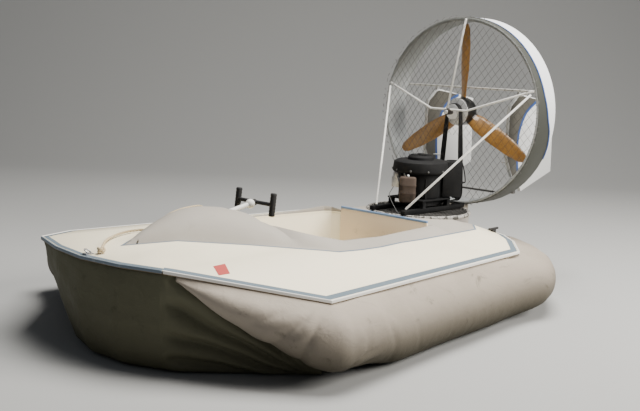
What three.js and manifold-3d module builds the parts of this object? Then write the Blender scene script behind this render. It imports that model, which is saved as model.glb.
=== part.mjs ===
// A small single-engine hovercraft, parked on its skirt and landing runners.
// Frame: +X towards the bow, +Y to port, +Z up, millimetres.
// The origin is on the ground, under the middle of the craft's outline.

import * as THREE from 'three';
import { mergeVertices } from 'three/addons/utils/BufferGeometryUtils.js';
import Module from 'manifold-3d';

const wasm = await Module();
wasm.setup();

// Gap left between solids that touch
const GAP = 0.3;

// Moves the craft so that its outline is centred on the origin
const SHIFT_X = 12.95;

// Hull
const KEEL_Z = 95;
const DECK_THICK = 12;
const FLOOR_Z = 118;

// Cockpit opening and footwell
const WELL_AFT_X = -392;
const COCKPIT_HALF_WIDTH = 400;
const FOOTWELL_FRONT_X = 1080;
const FOOTWELL_HALF_WIDTH = 300;
const COWL_THICK = 12;

// Lift ring, a vertical duct with the fan at its foot
const LIFT_X = -712;
const LIFT_INNER_R = 288;
const LIFT_OUTER_R = 300;
const LIFT_LIP_R = 304;
const LIFT_TOP_Z = 450;
const LIFT_LOW_Z = 130;
const FAN_R = 276;
const FAN_Z = 215;

// Thrust ring, a short horizontal duct round the propeller
const DUCT_X = -1050;
const DUCT_Z = 1020;
const DUCT_R = 570;
const DUCT_WALL = 22;
const DUCT_DEPTH = 180;
const DUCT_REAR_X = DUCT_X - DUCT_DEPTH;
const PROP_X = -1112;
const PROP_R = 532;
const PROP_BLADES = 3;
const PROP_ANGLE = -29;

// Drive
const PROP_PULLEY_R = 37;
const PROP_DISC_R = 82;
const PROP_DISC_THICK = 8;
const PROP_PULLEY_X = -1018;
const CRANK_PULLEY_R = 69;
const CRANK_PULLEY_Z = 489;
const IDLER_R = 34;
const BELT = 20;

// Rudders
const RUDDER_Y = 306;
const RUDDER_X = -1242;
const RUDDER_THICK = 20;
const UPPER_BAR_Z = 1164;
const LOWER_BAR_Z = 533;
const TUBE_R = 6.5;

// Steering
const COLUMN_FRONT = [1010, 0, 519];
const COLUMN_AFT = [652, 0, 589];

const PAINT = {
  white: [0xece8df, 0.35, 0],
  grey: [0xb9b6b2, 0.4, 0],
  cream: [0xd9cdb8, 0.5, 0],
  blue: [0x5f8fc0, 0.35, 0],
  skirt: [0x9c968b, 0.75, 0],
  black: [0x1a1a1b, 0.55, 0.2],
  tube: [0xe6e6e2, 0.35, 0.1],
  alloy: [0xa9abad, 0.4, 0.9],
  rust: [0x7a4a30, 0.85, 0.3],
  wood: [0x9c5f2c, 0.4, 0],
  rope: [0xc8b48c, 0.9, 0],
  seat: [0x55524c, 0.8, 0],
  rubber: [0x202020, 0.85, 0],
  runner: [0x8a7350, 0.8, 0],
};

const craft = new THREE.Group();
craft.position.x = SHIFT_X;

// Solid helpers

function bare(geometry) {
  const g = geometry.clone();
  g.deleteAttribute('normal');
  g.deleteAttribute('uv');
  return mergeVertices(g, 1e-4);
}

function solid(geometry) {
  const g = bare(geometry);
  const vertProperties = new Float32Array(g.attributes.position.array);
  const triVerts = new Uint32Array(g.index.array);
  return new wasm.Manifold(new wasm.Mesh({ numProp: 3, vertProperties, triVerts }));
}

function toGeometry(manifold) {
  const m = manifold.getMesh();
  const g = new THREE.BufferGeometry();
  const positions = new Float32Array(m.numVert * 3);
  for (let i = 0; i < m.numVert; i += 1) {
    for (let k = 0; k < 3; k += 1) {
      positions[3 * i + k] = m.vertProperties[m.numProp * i + k];
    }
  }
  g.setAttribute('position', new THREE.BufferAttribute(positions, 3));
  g.setIndex(new THREE.BufferAttribute(new Uint32Array(m.triVerts), 1));
  g.computeVertexNormals();
  return g;
}

function union(list) {
  return list.reduce((sum, item) => sum.add(item));
}

function add(name, shape, paint) {
  const geometry = shape.isBufferGeometry ? shape : toGeometry(shape);
  const [color, roughness, metalness] = PAINT[paint];
  const material = new THREE.MeshStandardMaterial({ color, roughness, metalness });
  const mesh = new THREE.Mesh(geometry, material);
  mesh.name = name;
  craft.add(mesh);
  return mesh;
}

// A closed body through rings of points, each ring with the same number of points
function loft(rings) {
  const count = rings[0].length;
  const positions = [];
  const index = [];
  rings.forEach((ring) => ring.forEach((p) => positions.push(...p)));
  for (let r = 0; r + 1 < rings.length; r += 1) {
    for (let i = 0; i < count; i += 1) {
      const j = (i + 1) % count;
      const a = r * count + i;
      const b = r * count + j;
      const c = (r + 1) * count + i;
      const d = (r + 1) * count + j;
      index.push(a, b, d, a, d, c);
    }
  }
  [0, rings.length - 1].forEach((r, end) => {
    const centre = positions.length / 3;
    const middle = [0, 1, 2].map((k) => rings[r].reduce((s, p) => s + p[k], 0) / count);
    positions.push(...middle);
    for (let i = 0; i < count; i += 1) {
      const a = r * count + i;
      const b = r * count + ((i + 1) % count);
      if (end === 0) index.push(centre, b, a);
      else index.push(centre, a, b);
    }
  });
  const g = new THREE.BufferGeometry();
  g.setAttribute('position', new THREE.BufferAttribute(new Float32Array(positions), 3));
  g.setIndex(index);
  return faceOutwards(g);
}

function faceOutwards(g) {
  const p = g.attributes.position;
  const ix = g.index.array;
  const [a, b, c] = [new THREE.Vector3(), new THREE.Vector3(), new THREE.Vector3()];
  let volume = 0;
  for (let i = 0; i < ix.length; i += 3) {
    a.fromBufferAttribute(p, ix[i]);
    b.fromBufferAttribute(p, ix[i + 1]);
    c.fromBufferAttribute(p, ix[i + 2]);
    volume += a.dot(b.cross(c));
  }
  if (volume < 0) {
    for (let i = 0; i < ix.length; i += 3) {
      [ix[i + 1], ix[i + 2]] = [ix[i + 2], ix[i + 1]];
    }
  }
  return g;
}

function box(x0, x1, y0, y1, z0, z1) {
  const g = new THREE.BoxGeometry(x1 - x0, y1 - y0, z1 - z0);
  g.translate((x0 + x1) / 2, (y0 + y1) / 2, (z0 + z1) / 2);
  return solid(g);
}

// A round bar from one point to another
function rod(from, to, radius, sides = 12) {
  const a = new THREE.Vector3(...from);
  const b = new THREE.Vector3(...to);
  const g = new THREE.CylinderGeometry(radius, radius, a.distanceTo(b), sides);
  const turn = new THREE.Quaternion().setFromUnitVectors(
    new THREE.Vector3(0, 1, 0),
    b.clone().sub(a).normalize(),
  );
  g.applyQuaternion(turn);
  g.translate(...a.add(b).multiplyScalar(0.5).toArray());
  return solid(g);
}

function ball(at, radius, sides = 12) {
  const g = new THREE.SphereGeometry(radius, sides, Math.max(6, sides / 2));
  g.translate(...at);
  return solid(g);
}

// A bent tube: straight lengths with a ball at each bend
function bentTube(points, radius, sides = 12) {
  const parts = [];
  for (let i = 0; i + 1 < points.length; i += 1) {
    parts.push(rod(points[i], points[i + 1], radius, sides));
    if (i > 0) parts.push(ball(points[i], radius, sides));
  }
  return union(parts);
}

// Turns a profile of [radius, height] pairs round the vertical axis
function turned(profile, segments) {
  const points = profile.map(([r, h]) => new THREE.Vector2(r, h));
  const g = new THREE.LatheGeometry(points, segments);
  g.rotateX(Math.PI / 2);
  return faceOutwards(bare(g));
}

function turnedUp(profile, segments, x, y, z) {
  const g = turned(profile, segments);
  g.translate(x, y, z);
  return solid(g);
}

// The same round a fore-and-aft axis, heights running forward
function turnedAlong(profile, segments, x, y, z) {
  const g = turned(profile, segments);
  g.rotateY(Math.PI / 2);
  g.translate(x, y, z);
  return solid(g);
}

function closedRing(profile) {
  return [...profile, profile[0]];
}

// An upright prism over a plan outline
function prism(outline, z0, z1) {
  const shape = new THREE.Shape(outline.map(([x, y]) => new THREE.Vector2(x, y)));
  const g = new THREE.ExtrudeGeometry(shape, { depth: z1 - z0, bevelEnabled: false });
  g.translate(0, 0, z0);
  return solid(g);
}

// A plate over an outline of [x, z] points, centred on a y value
function sidePlate(outline, y, thick) {
  const shape = new THREE.Shape(outline.map(([x, z]) => new THREE.Vector2(x, z)));
  const g = new THREE.ExtrudeGeometry(shape, { depth: thick, bevelEnabled: false });
  g.rotateX(Math.PI / 2);
  g.translate(0, y + thick / 2, 0);
  return solid(g);
}

const mirrored = (points) => points.map(([x, y, z]) => [x, -y, z]);

function table(rows, x) {
  const sorted = [...rows].sort((p, q) => p[0] - q[0]);
  if (x <= sorted[0][0]) return sorted[0].slice(1);
  for (let i = 0; i + 1 < sorted.length; i += 1) {
    const [p, q] = [sorted[i], sorted[i + 1]];
    if (x <= q[0]) {
      const t = (x - p[0]) / (q[0] - p[0]);
      return p.slice(1).map((v, k) => v + (q[k + 1] - v) * t);
    }
  }
  return sorted[sorted.length - 1].slice(1);
}

// Hull
// Deck edge on the port side from the bow's middle to the stern's middle: x, y, z
const EDGE = [
  [1622, 0, 444],
  [1598, 230, 446],
  [1537, 448, 449],
  [1070, 945, 353],
  [-533, 813, 343],
  [-800, 610, 336],
  [-940, 455, 333],
  [-1029, 306, 328],
  [-1055, 150, 328],
  [-1058, 0, 328],
];

// Border between the white deck and the grey cowl: x, half width, z
const BORDER = [
  [1400, 0, 466],
  [1200, 120, 483],
  [900, 300, 458],
  [550, 505, 412],
  [406, 518, 411],
  [258, 518, 410.5],
  [80, 501, 409.5],
  [-86, 500, 409],
  [-640, 455, 400],
  [-800, 330, 392],
  [-880, 0, 386],
];

// Bottom edge of the hull: x, half width
const CHINE = [
  [1150, 330],
  [900, 640],
  [700, 720],
  [-450, 680],
  [-780, 500],
  [-960, 310],
  [-1026, 120],
];

function hullSolid(grow, drop) {
  const scale = 1 + grow / 900;
  const rim = EDGE.map(([x, y, z]) => [x * scale, y * scale, z - drop]);
  const crown = BORDER.map(([x, y, z]) => [x, y, z - drop + grow]);
  const low = CHINE.map(([x, y]) => [x * scale, y * scale, KEEL_Z - grow]);
  const points = [...rim, ...crown, ...low];
  return wasm.Manifold.hull([...points, ...mirrored(points)]);
}

// Height of the cowl over a plan point
// x, height on the centre line, roundness of the section
const RIDGE = [
  [1400, 467, 2],
  [1300, 517, 2],
  [1207, 551, 2.2],
  [1100, 581, 2.5],
  [1000, 592, 2.8],
  [900, 589, 3],
  [786, 574.3, 3],
  [776, 563.5, 3],
  [748, 544.8, 3],
  [706, 529.6, 3],
  [682, 535, 4],
  [640, 532.7, 5],
  [565, 509.3, 5],
  [400, 456, 4],
  [118, 449.5, 3],
  [-200, 465.3, 4],
  [-318, 472.1, 5],
  [-362, 454.2, 5],
  [-392, 437, 2],
  [-420, 443, 3],
  [-640, 446, 3],
  [-880, 388, 3],
];

function cowlHeight(x, y) {
  const [half, foot] = table(BORDER, x);
  const [crest, power] = table(RIDGE, x);
  if (half <= 0) return foot;
  const across = Math.min(1, Math.abs(y) / half);
  return foot + (crest - foot) * (1 - across ** power);
}

const COWL_STATIONS = [
  1399, 1350, 1300, 1250, 1207, 1150, 1100, 1050, 1000, 950, 900, 840, 786, 776, 748, 706, 682,
  640, 600, 565, 510, 470, 430, 400, 330, 250, 118, -40, -200, -318, -362, -392, -420, -530,
  -640, -720, -800, -850,
];
const COWL_ACROSS = 10;

function cowlSolid(lift) {
  const rings = COWL_STATIONS.map((x) => {
    const half = Math.max(0.5, table(BORDER, x)[0]);
    const ring = [];
    for (let i = -COWL_ACROSS; i <= COWL_ACROSS; i += 1) {
      const y = half * Math.sin((i / COWL_ACROSS) * (Math.PI / 2));
      ring.push([x, y, cowlHeight(x, y) + lift]);
    }
    ring.push([x, half, 300], [x, -half, 300]);
    return ring;
  });
  return solid(loft(rings));
}

// Cockpit opening in plan, port half, from the dash to the aft edge
const OPENING = [
  [786, 0],
  [776, 60],
  [748, 120],
  [706, 210],
  [682, 300],
  [640, 362],
  [565, COCKPIT_HALF_WIDTH],
  [-318, COCKPIT_HALF_WIDTH],
  [-362, 378],
  [WELL_AFT_X, 320],
  [WELL_AFT_X, 0],
];
const halfOutline = (rows) => [
  ...rows,
  ...rows.slice(1, -1).reverse().map(([x, y]) => [x, -y]),
];
const openingOutline = halfOutline(OPENING);
const cockpitCut = prism(openingOutline, FLOOR_Z, 900);
const footwellPlan = box(
  500, FOOTWELL_FRONT_X, -FOOTWELL_HALF_WIDTH, FOOTWELL_HALF_WIDTH, FLOOR_Z, 900,
);
const footwellCut = cowlSolid(-COWL_THICK).intersect(footwellPlan)
  .add(box(500, FOOTWELL_FRONT_X, -FOOTWELL_HALF_WIDTH, FOOTWELL_HALF_WIDTH, FLOOR_Z, 440));
const liftCut = turnedUp(
  [[0, 0], [LIFT_OUTER_R + GAP, 0], [LIFT_OUTER_R + GAP, 900], [0, 900]], 40, LIFT_X, 0, 0,
);
const lipCut = turnedUp(
  [[0, 0], [LIFT_LIP_R + GAP, 0], [LIFT_LIP_R + GAP, 900], [0, 900]], 40, LIFT_X, 0, 425,
);

const fullHull = hullSolid(0, 0);
const hull = hullSolid(0, DECK_THICK + GAP)
  .intersect(fullHull)
  .subtract(box(-2000, 2000, -1200, 1200, -100, KEEL_Z))
  .subtract(cockpitCut)
  .subtract(footwellCut)
  .subtract(liftCut);
add('hull', hull, 'cream');

const deck = fullHull
  .subtract(hullSolid(0, DECK_THICK))
  .subtract(box(-2000, 2000, -1200, 1200, 0, 300))
  .subtract(cockpitCut)
  .subtract(footwellCut)
  .subtract(liftCut);
add('deck', deck, 'white');

const columnRun = new THREE.Vector3(...COLUMN_AFT).sub(new THREE.Vector3(...COLUMN_FRONT));
const columnPoint = (x) => {
  const t = (x - COLUMN_FRONT[0]) / columnRun.x;
  return [x, 0, COLUMN_FRONT[2] + columnRun.z * t];
};
const columnRoom = rod(columnPoint(1100), COLUMN_AFT, 18, 16);

const cowl = cowlSolid(0)
  .subtract(columnRoom)
  .subtract(hullSolid(GAP, 0).translate([0, 0, GAP]))
  .subtract(cockpitCut)
  .subtract(footwellCut)
  .subtract(liftCut)
  .subtract(lipCut);
const cowlPieces = cowl.decompose().sort((p, q) => q.volume() - p.volume());
add('cowl', cowlPieces[0], 'grey');

// Edge strip and skirt
// A place along the deck edge: s counts the rows of EDGE, and the outward pair is a mitre
function edgePlace(s) {
  const i = Math.min(EDGE.length - 2, Math.floor(s));
  const t = s - i;
  const [p, q] = [EDGE[i], EDGE[i + 1]];
  const at = p.map((v, k) => v + (q[k] - v) * t);
  const outward = (a, b) => {
    const length = Math.hypot(b[0] - a[0], b[1] - a[1]);
    return [(b[1] - a[1]) / length, -(b[0] - a[0]) / length];
  };
  const here = outward(p, q);
  let next = here;
  if (t === 0 && i > 0) next = outward(EDGE[i - 1], p);
  if (t === 0 && i === 0) next = [here[0], -here[1]];
  if (t === 1) next = [here[0], -here[1]];
  const sum = [here[0] + next[0], here[1] + next[1]];
  const scale = 2 / (sum[0] ** 2 + sum[1] ** 2);
  return { at, out: [sum[0] * scale, sum[1] * scale] };
}

function edgeRing(s, section, side = 1) {
  const { at, out } = edgePlace(Math.abs(s));
  const flip = s < 0 ? -side : side;
  return section.map(([n, z]) => [at[0] + out[0] * n, flip * (at[1] + out[1] * n), z]);
}

const STRIP = { inner: 0.4, outer: 9, above: 2, below: 12 };

function stripSection(s) {
  const z = edgePlace(Math.abs(s)).at[2];
  return [
    [STRIP.inner, z - STRIP.below],
    [STRIP.outer, z - STRIP.below],
    [STRIP.outer, z + STRIP.above],
    [STRIP.inner, z + STRIP.above],
  ];
}

const stripLoft = (stations, side) => solid(
  loft(stations.map((s) => edgeRing(s, stripSection(s), side))),
);
const RAIL_STATIONS = [2.003, 3, 4, 5, 6, 7, 8, 8.995];
add('bow_strip', stripLoft([-1.997, -1, 0, 1, 1.997], 1), 'blue');
add('rail_port', stripLoft(RAIL_STATIONS, 1), 'white');
add('rail_starboard', stripLoft(RAIL_STATIONS, -1), 'white');

// Side bag: a round tube of cloth that hangs from the deck edge and grows from the bow corner aft
// place along the edge, middle of the tube beside the edge and above the ground, radius
const BAG_STATIONS = [
  [2.08, 3, 412, 6],
  [2.18, 6, 380, 20],
  [2.27, 9, 354, 37],
  [2.4, 12, 318, 60],
  [2.57, 15, 275, 85],
  [2.73, 17, 243, 103],
  [2.87, 18, 211, 121],
  [2.95, 18, 199, 127],
  [3, 18, 185, 130],
  [3.12, 0, 190, 140],
  [3.25, -15, 148, 148],
  [3.5, -20, 150, 150],
  [3.8, -20, 150, 150],
  [3.9, -16, 150, 145],
  [4, 42, 162, 130],
  [4.15, 92, 170, 121],
  [4.6, 116, 170, 118],
  [5, 122, 170, 118],
  [5.5, 122, 170, 118],
  [6, 122, 170, 118],
  [7, 122, 170, 118],
  [8, 122, 170, 118],
  [8.99, 122, 170, 118],
];
// The starboard bag hangs slack behind the bow: how far its middle lies further in
const BAG_SLACK = [
  [3, 0],
  [2.95, 36],
  [2.87, 60],
  [2.73, 70],
  [2.57, 75],
  [2.4, 70],
  [2.27, 55],
  [2.18, 40],
  [2.08, 20],
];
const BAG_SIDES = 20;
const BAG_ROOT = -14;

// How far the cloth lies from the tube's middle in one direction, where it runs straight from the
// round part up to the point that carries it
function drapeReach(r, angle, distance, towards) {
  if (distance <= r) return r;
  const spread = Math.acos(r / distance);
  const off = Math.abs(Math.atan2(Math.sin(angle - towards), Math.cos(angle - towards)));
  return off < spread ? r / Math.cos(spread - off) : r;
}

function bagSection(s, [n, z, radius], grow) {
  const top = edgePlace(s).at[2] - STRIP.below - 1;
  const r = radius + grow;
  const points = [];
  for (let i = 0; i < BAG_SIDES; i += 1) {
    const angle = ((i + 0.5) / BAG_SIDES) * 2 * Math.PI;
    const reach = Math.max(...[0, BAG_ROOT].map((root) => drapeReach(
      r, angle, Math.hypot(root - n, top - z), Math.atan2(top - z, root - n),
    )));
    points.push([n + reach * Math.cos(angle), Math.max(-grow, z + reach * Math.sin(angle))]);
  }
  return points;
}

function bagLoft(side, grow) {
  const rows = grow > 0 ? [[BAG_STATIONS[0][0] - 0.05, 3, 414, 6], ...BAG_STATIONS] : BAG_STATIONS;
  return solid(loft(rows.map(([s, n, z, r]) => {
    const slack = side < 0 ? table(BAG_SLACK, s)[0] : 0;
    return edgeRing(s, bagSection(s, [n - slack, z, r], grow), side);
  })));
}

const hullRoom = hullSolid(0.6, 0);
[['port', 1], ['starboard', -1]].forEach(([word, side]) => {
  const [y0, y1] = side > 0 ? [0.5, 1500] : [-1500, -0.5];
  const half = box(-2000, 2000, y0, y1, -5, 900);
  add(`skirt_${word}`, bagLoft(side, 0).subtract(hullRoom).intersect(half), 'skirt');
});

// Bow bag: an upright face under the bow edge that tucks in under the side bags
// place along the edge, outward reach at four heights from the foot to the top
const BOW_STATIONS = [
  [-2.97, -190, -150, -90, -30],
  [-2.6, -190, -150, -85, -28],
  [-2.25, -195, -140, -70, -20],
  [-2, -200, -130, -58, -12],
  [-1, -115, -60, -15, 0],
  [0, -75, -15, 12, 6],
  [1, -55, 0, 20, 8],
  [2, -88, -25, 0, 2],
  [2.25, -85, -40, -15, -4],
  [2.6, -90, -60, -30, -14],
  [2.97, -105, -80, -50, -20],
];
const BOW_BAG_DEPTH = 330;

const bowBag = loft(BOW_STATIONS.map(([s, foot, low, mid, high]) => {
  const top = edgePlace(Math.abs(s)).at[2] - STRIP.below - 1;
  return edgeRing(s, [
    [-60, top],
    [0, top],
    [high, top * 0.82],
    [mid, top * 0.5],
    [low, top * 0.2],
    [(low + foot) / 2, top * 0.05],
    [foot, 0],
    [-BOW_BAG_DEPTH, 0],
    [-BOW_BAG_DEPTH - 20, 70],
    [-BOW_BAG_DEPTH, KEEL_Z + 40],
  ]);
}));
const bowPieces = solid(bowBag)
  .subtract(hullRoom)
  .subtract(bagLoft(1, 4))
  .subtract(bagLoft(-1, 4))
  .subtract(bagLoft(1, 0).translate([-2, -2, 2]))
  .subtract(bagLoft(-1, 0).translate([-2, 2, 2]))
  .subtract(bagLoft(1, 0))
  .subtract(bagLoft(-1, 0))
  .decompose()
  .sort((p, q) => q.volume() - p.volume());
add('skirt_bow', bowPieces[0], 'skirt');

// Landing runners under the floor
const RUNNER = { aft: -380, fore: 880, y: 330, half: 24 };
[['port', 1], ['starboard', -1]].forEach(([word, side]) => {
  const y = side * RUNNER.y;
  const plank = box(RUNNER.aft, RUNNER.fore, y - RUNNER.half, y + RUNNER.half, 0, KEEL_Z - GAP);
  add(`runner_${word}`, plank, 'runner');
});

// Cockpit fittings
add('rear_bulkhead', box(WELL_AFT_X + 0.4, WELL_AFT_X + 13, -318, 318, FLOOR_Z + GAP, 437), 'cream');
add('aft_trim', box(WELL_AFT_X + 0.4, WELL_AFT_X + 15, -318, 318, 437.3, 449), 'blue');

const dash = cowlSolid(-COWL_THICK - GAP)
  .intersect(box(800, 812, -FOOTWELL_HALF_WIDTH + GAP, FOOTWELL_HALF_WIDTH - GAP, 420, 900))
  .subtract(columnRoom);
add('dash_panel', dash, 'black');

const SEAT = { aft: -90, fore: 290, half: 195, top: 186 };
add('seat_cushion', box(SEAT.aft, SEAT.fore, -SEAT.half, SEAT.half, FLOOR_Z + GAP, SEAT.top), 'seat');
const SEAT_BACK = [
  [-200, FLOOR_Z + GAP],
  [-94, FLOOR_Z + GAP],
  [-94, 200],
  [-122, 306],
  [-182, 303],
  [-198, 268],
];
add('seat_back', sidePlate(SEAT_BACK, 0, 2 * SEAT.half), 'seat');

// Steering: a tube through the dash, with a two-handed yoke on its aft end
const BRACKET_X = [960, 984];
const bracket = cowlSolid(-COWL_THICK - GAP)
  .intersect(box(BRACKET_X[0], BRACKET_X[1], -26, 26, 490, 900))
  .subtract(rod(columnPoint(1100), COLUMN_AFT, 13.5, 16));
add('column_bracket', bracket, 'alloy');

const KNUCKLE_R = 24;
const column = rod(COLUMN_FRONT, COLUMN_AFT, 12, 16).add(ball(COLUMN_AFT, KNUCKLE_R, 16));
add('steering_column', column, 'tube');
const GRIP = { x: 618, y: 125, low: 540, high: 652, r: 14 };
const yoke = union([
  rod([GRIP.x, -GRIP.y, 596], [GRIP.x, GRIP.y, 596], 10),
  rod([GRIP.x + 6, GRIP.y, GRIP.low], [GRIP.x - 6, GRIP.y, GRIP.high], GRIP.r),
  rod([GRIP.x + 6, -GRIP.y, GRIP.low], [GRIP.x - 6, -GRIP.y, GRIP.high], GRIP.r),
  rod([GRIP.x, 0, 596], [640, 0, 592], 16),
]).subtract(ball(COLUMN_AFT, KNUCKLE_R + GAP, 16));
add('yoke', yoke, 'black');

// Lift ring and fan
const ringProfile = closedRing([
  [LIFT_INNER_R, LIFT_LOW_Z],
  [LIFT_OUTER_R, LIFT_LOW_Z],
  [LIFT_OUTER_R, 430],
  [LIFT_LIP_R, 436],
  [LIFT_LIP_R, LIFT_TOP_Z - 4],
  [LIFT_LIP_R - 4, LIFT_TOP_Z],
  [LIFT_INNER_R + 4, LIFT_TOP_Z],
  [LIFT_INNER_R, LIFT_TOP_Z - 4],
]);
add('lift_ring', turnedUp(ringProfile, 40, LIFT_X, 0, 0), 'grey');

const HUB_R = 58;
const FAN_BLADES = 6;
const FAN_PITCH = 26;
const fanParts = [turnedUp([[0, -34], [HUB_R, -34], [HUB_R, 34], [0, 34]], 24, LIFT_X, 0, FAN_Z)];
for (let i = 0; i < FAN_BLADES; i += 1) {
  const blade = new THREE.BoxGeometry(FAN_R - HUB_R + 20, 112, 6);
  blade.rotateX(THREE.MathUtils.degToRad(FAN_PITCH));
  blade.translate((FAN_R + HUB_R) / 2 - 14, 0, 0);
  blade.rotateZ((i / FAN_BLADES) * 2 * Math.PI);
  blade.translate(LIFT_X, 0, FAN_Z);
  fanParts.push(solid(blade));
}
const fanTrim = turnedUp([[0, -60], [FAN_R, -60], [FAN_R, 60], [0, 60]], 40, LIFT_X, 0, FAN_Z);
add('lift_fan', union(fanParts).intersect(fanTrim), 'alloy');

// A grooved pulley's outline from its axis to the outer edge of its far flange
const CRANK_PULLEY_HALF = 18;
const PROP_PULLEY_HALF = 22;
const PULLEY_RIM = 9;
const pulleyProfile = (r, half) => [
  [0, -half],
  [r + PULLEY_RIM, -half],
  [r + PULLEY_RIM, -half + 2],
  [r, -half + 3],
  [r, half - 3],
  [r + PULLEY_RIM, half - 2],
  [r + PULLEY_RIM, half],
];
const crankRod = rod([LIFT_X, 0, FAN_Z + 34 + GAP], [LIFT_X, 0, CRANK_PULLEY_Z], 14, 16);
const crankPulley = turnedUp(
  [...pulleyProfile(CRANK_PULLEY_R, CRANK_PULLEY_HALF), [14, CRANK_PULLEY_HALF],
    [14, CRANK_PULLEY_HALF + 9], [0, CRANK_PULLEY_HALF + 9]],
  28, LIFT_X, 0, CRANK_PULLEY_Z,
);
add('crankshaft', crankPulley.add(crankRod), 'alloy');

// Engine on two bearers across the lift ring
const BEARER = { y: 115, half: 15, low: LIFT_TOP_Z + GAP, top: 474, aft: -998, fore: -418 };
const mountParts = [1, -1].map((side) => {
  const y = side * BEARER.y;
  return box(BEARER.aft, BEARER.fore, y - BEARER.half, y + BEARER.half, BEARER.low, BEARER.top);
});

const PLATE_Z = 512;
const BLOCK_Z = 520.3;
mountParts.push(box(-850, -580, -132, 132, PLATE_Z, 520));
[-835, -600].forEach((x) => [-115, 115].forEach((y) => {
  mountParts.push(box(x - 14, x + 14, y - 14, y + 14, BEARER.top - 4, PLATE_Z + 2));
}));
const engineMount = union(mountParts).subtract(rod([LIFT_X, 0, 480], [LIFT_X, 0, 540], 20, 20));
add('engine_mount', engineMount, 'black');

const crankcase = union([
  turnedUp([[0, 0], [112, 0], [118, 12], [118, 150], [0, 150]], 28, LIFT_X, 0, BLOCK_Z),
  box(-800, -640, -100, 100, BLOCK_Z, BLOCK_Z + 120),
]);
add('crankcase', crankcase, 'black');

// Two finned cylinders pointing aft in a V
const CYLINDER = { angle: 32, start: 124, length: 98, half: 52, fins: 6, z: 606 };
function cylinderAt(side) {
  const parts = [];
  const core = new THREE.CylinderGeometry(38, 38, CYLINDER.length, 16);
  core.rotateZ(Math.PI / 2);
  core.translate(-CYLINDER.start - CYLINDER.length / 2, 0, 0);
  parts.push(solid(core));
  for (let i = 0; i < CYLINDER.fins; i += 1) {
    const x = -CYLINDER.start - 8 - (i * (CYLINDER.length - 26)) / (CYLINDER.fins - 1);
    parts.push(box(x - 3, x + 3, -CYLINDER.half, CYLINDER.half, -CYLINDER.half, CYLINDER.half));
  }
  const head = -CYLINDER.start - CYLINDER.length;
  parts.push(box(head - 22, head + 4, -46, 46, -50, 50));
  return union(parts)
    .rotate([0, 0, side * CYLINDER.angle])
    .translate([LIFT_X, 0, CYLINDER.z]);
}
const crankRoom = turnedUp([[0, -9], [118.4, -9], [118.4, 159], [0, 159]], 28, LIFT_X, 0, BLOCK_Z);
const caseRoom = box(-800.4, -639.6, -100.4, 100.4, BLOCK_Z - 1, BLOCK_Z + 120.4);
const blowerLow = BLOCK_Z + 150 + GAP;
const blowerCut = box(-1200, -300, -400, 400, blowerLow - GAP, 900);
[['port', -1], ['starboard', 1]].forEach(([word, side]) => {
  const cylinder = cylinderAt(side)
    .subtract(crankRoom).subtract(caseRoom).subtract(blowerCut);
  const best = cylinder.decompose().sort((p, q) => q.volume() - p.volume())[0];
  add(`cylinder_${word}`, best, 'black');
});

// How far the belt's middle runs from each pulley's axis, and where the two idlers turn it upward
const beltAtCrank = CRANK_PULLEY_R + 1 + BELT / 2;
const beltAtProp = PROP_PULLEY_R + 1 + BELT / 2;
const beltAtIdler = IDLER_R + 1 + BELT / 2;
const idlerX = PROP_PULLEY_X + beltAtIdler;
const idlerZ = CRANK_PULLEY_Z + beltAtIdler;

// Cooling covers: a lid over each cylinder with a thin wall down both of its sides
const COVER = { start: 60, wallStart: 125, end: 242, half: 58, inner: 55, low: 528, top: 733 };
const idlerRoom = rod([idlerX, -110, idlerZ], [idlerX, 110, idlerZ], IDLER_R + 6, 24);
function coverAt(side) {
  const lid = box(-COVER.end, -COVER.start, -COVER.half, COVER.half, blowerLow, COVER.top);
  const walls = box(-COVER.end, -COVER.wallStart, -COVER.half, COVER.half, COVER.low, blowerLow + 1);
  const room = box(
    -COVER.end - 9, -COVER.wallStart + 9, -COVER.inner, COVER.inner, COVER.low - 9, blowerLow - 6,
  );
  return union([lid, walls.subtract(room)])
    .rotate([0, 0, side * CYLINDER.angle])
    .translate([LIFT_X, 0, 0]);
}

const blower = union([
  coverAt(-1),
  coverAt(1),
  turnedUp([[0, 0], [160, 0], [165, 8], [158, 60], [132, 72], [0, 72]], 32, LIFT_X, 0, blowerLow),
  box(-905, -720, -118, 118, blowerLow, blowerLow + 52),
  turnedUp([[0, 70], [78, 70], [78, 86], [66, 98], [0, 98]], 28, LIFT_X, 0, blowerLow),
]).subtract(caseRoom).subtract(idlerRoom);
add('blower_housing', blower, 'black');

const MUFFLER = { x: -540, y: 46, r: 36, low: 508, high: 654 };
const muffler = union([
  turnedUp([[0, 0], [30, 0], [MUFFLER.r, 6], [MUFFLER.r, 140], [30, 146], [0, 146]],
    20, MUFFLER.x, MUFFLER.y, MUFFLER.low),
  rod([-560, MUFFLER.y, 560], [-604, MUFFLER.y - 8, 560], 13),
]).subtract(crankRoom).subtract(caseRoom);
add('muffler', muffler, 'rust');

const carburettor = union([
  box(-606, -570, -98, -46, 580, 640),
  rod([-588, -72, 638], [-588, -72, 668], 24, 16),
]).subtract(crankRoom).subtract(caseRoom).subtract(blowerCut);
add('carburettor', carburettor, 'alloy');

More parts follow.
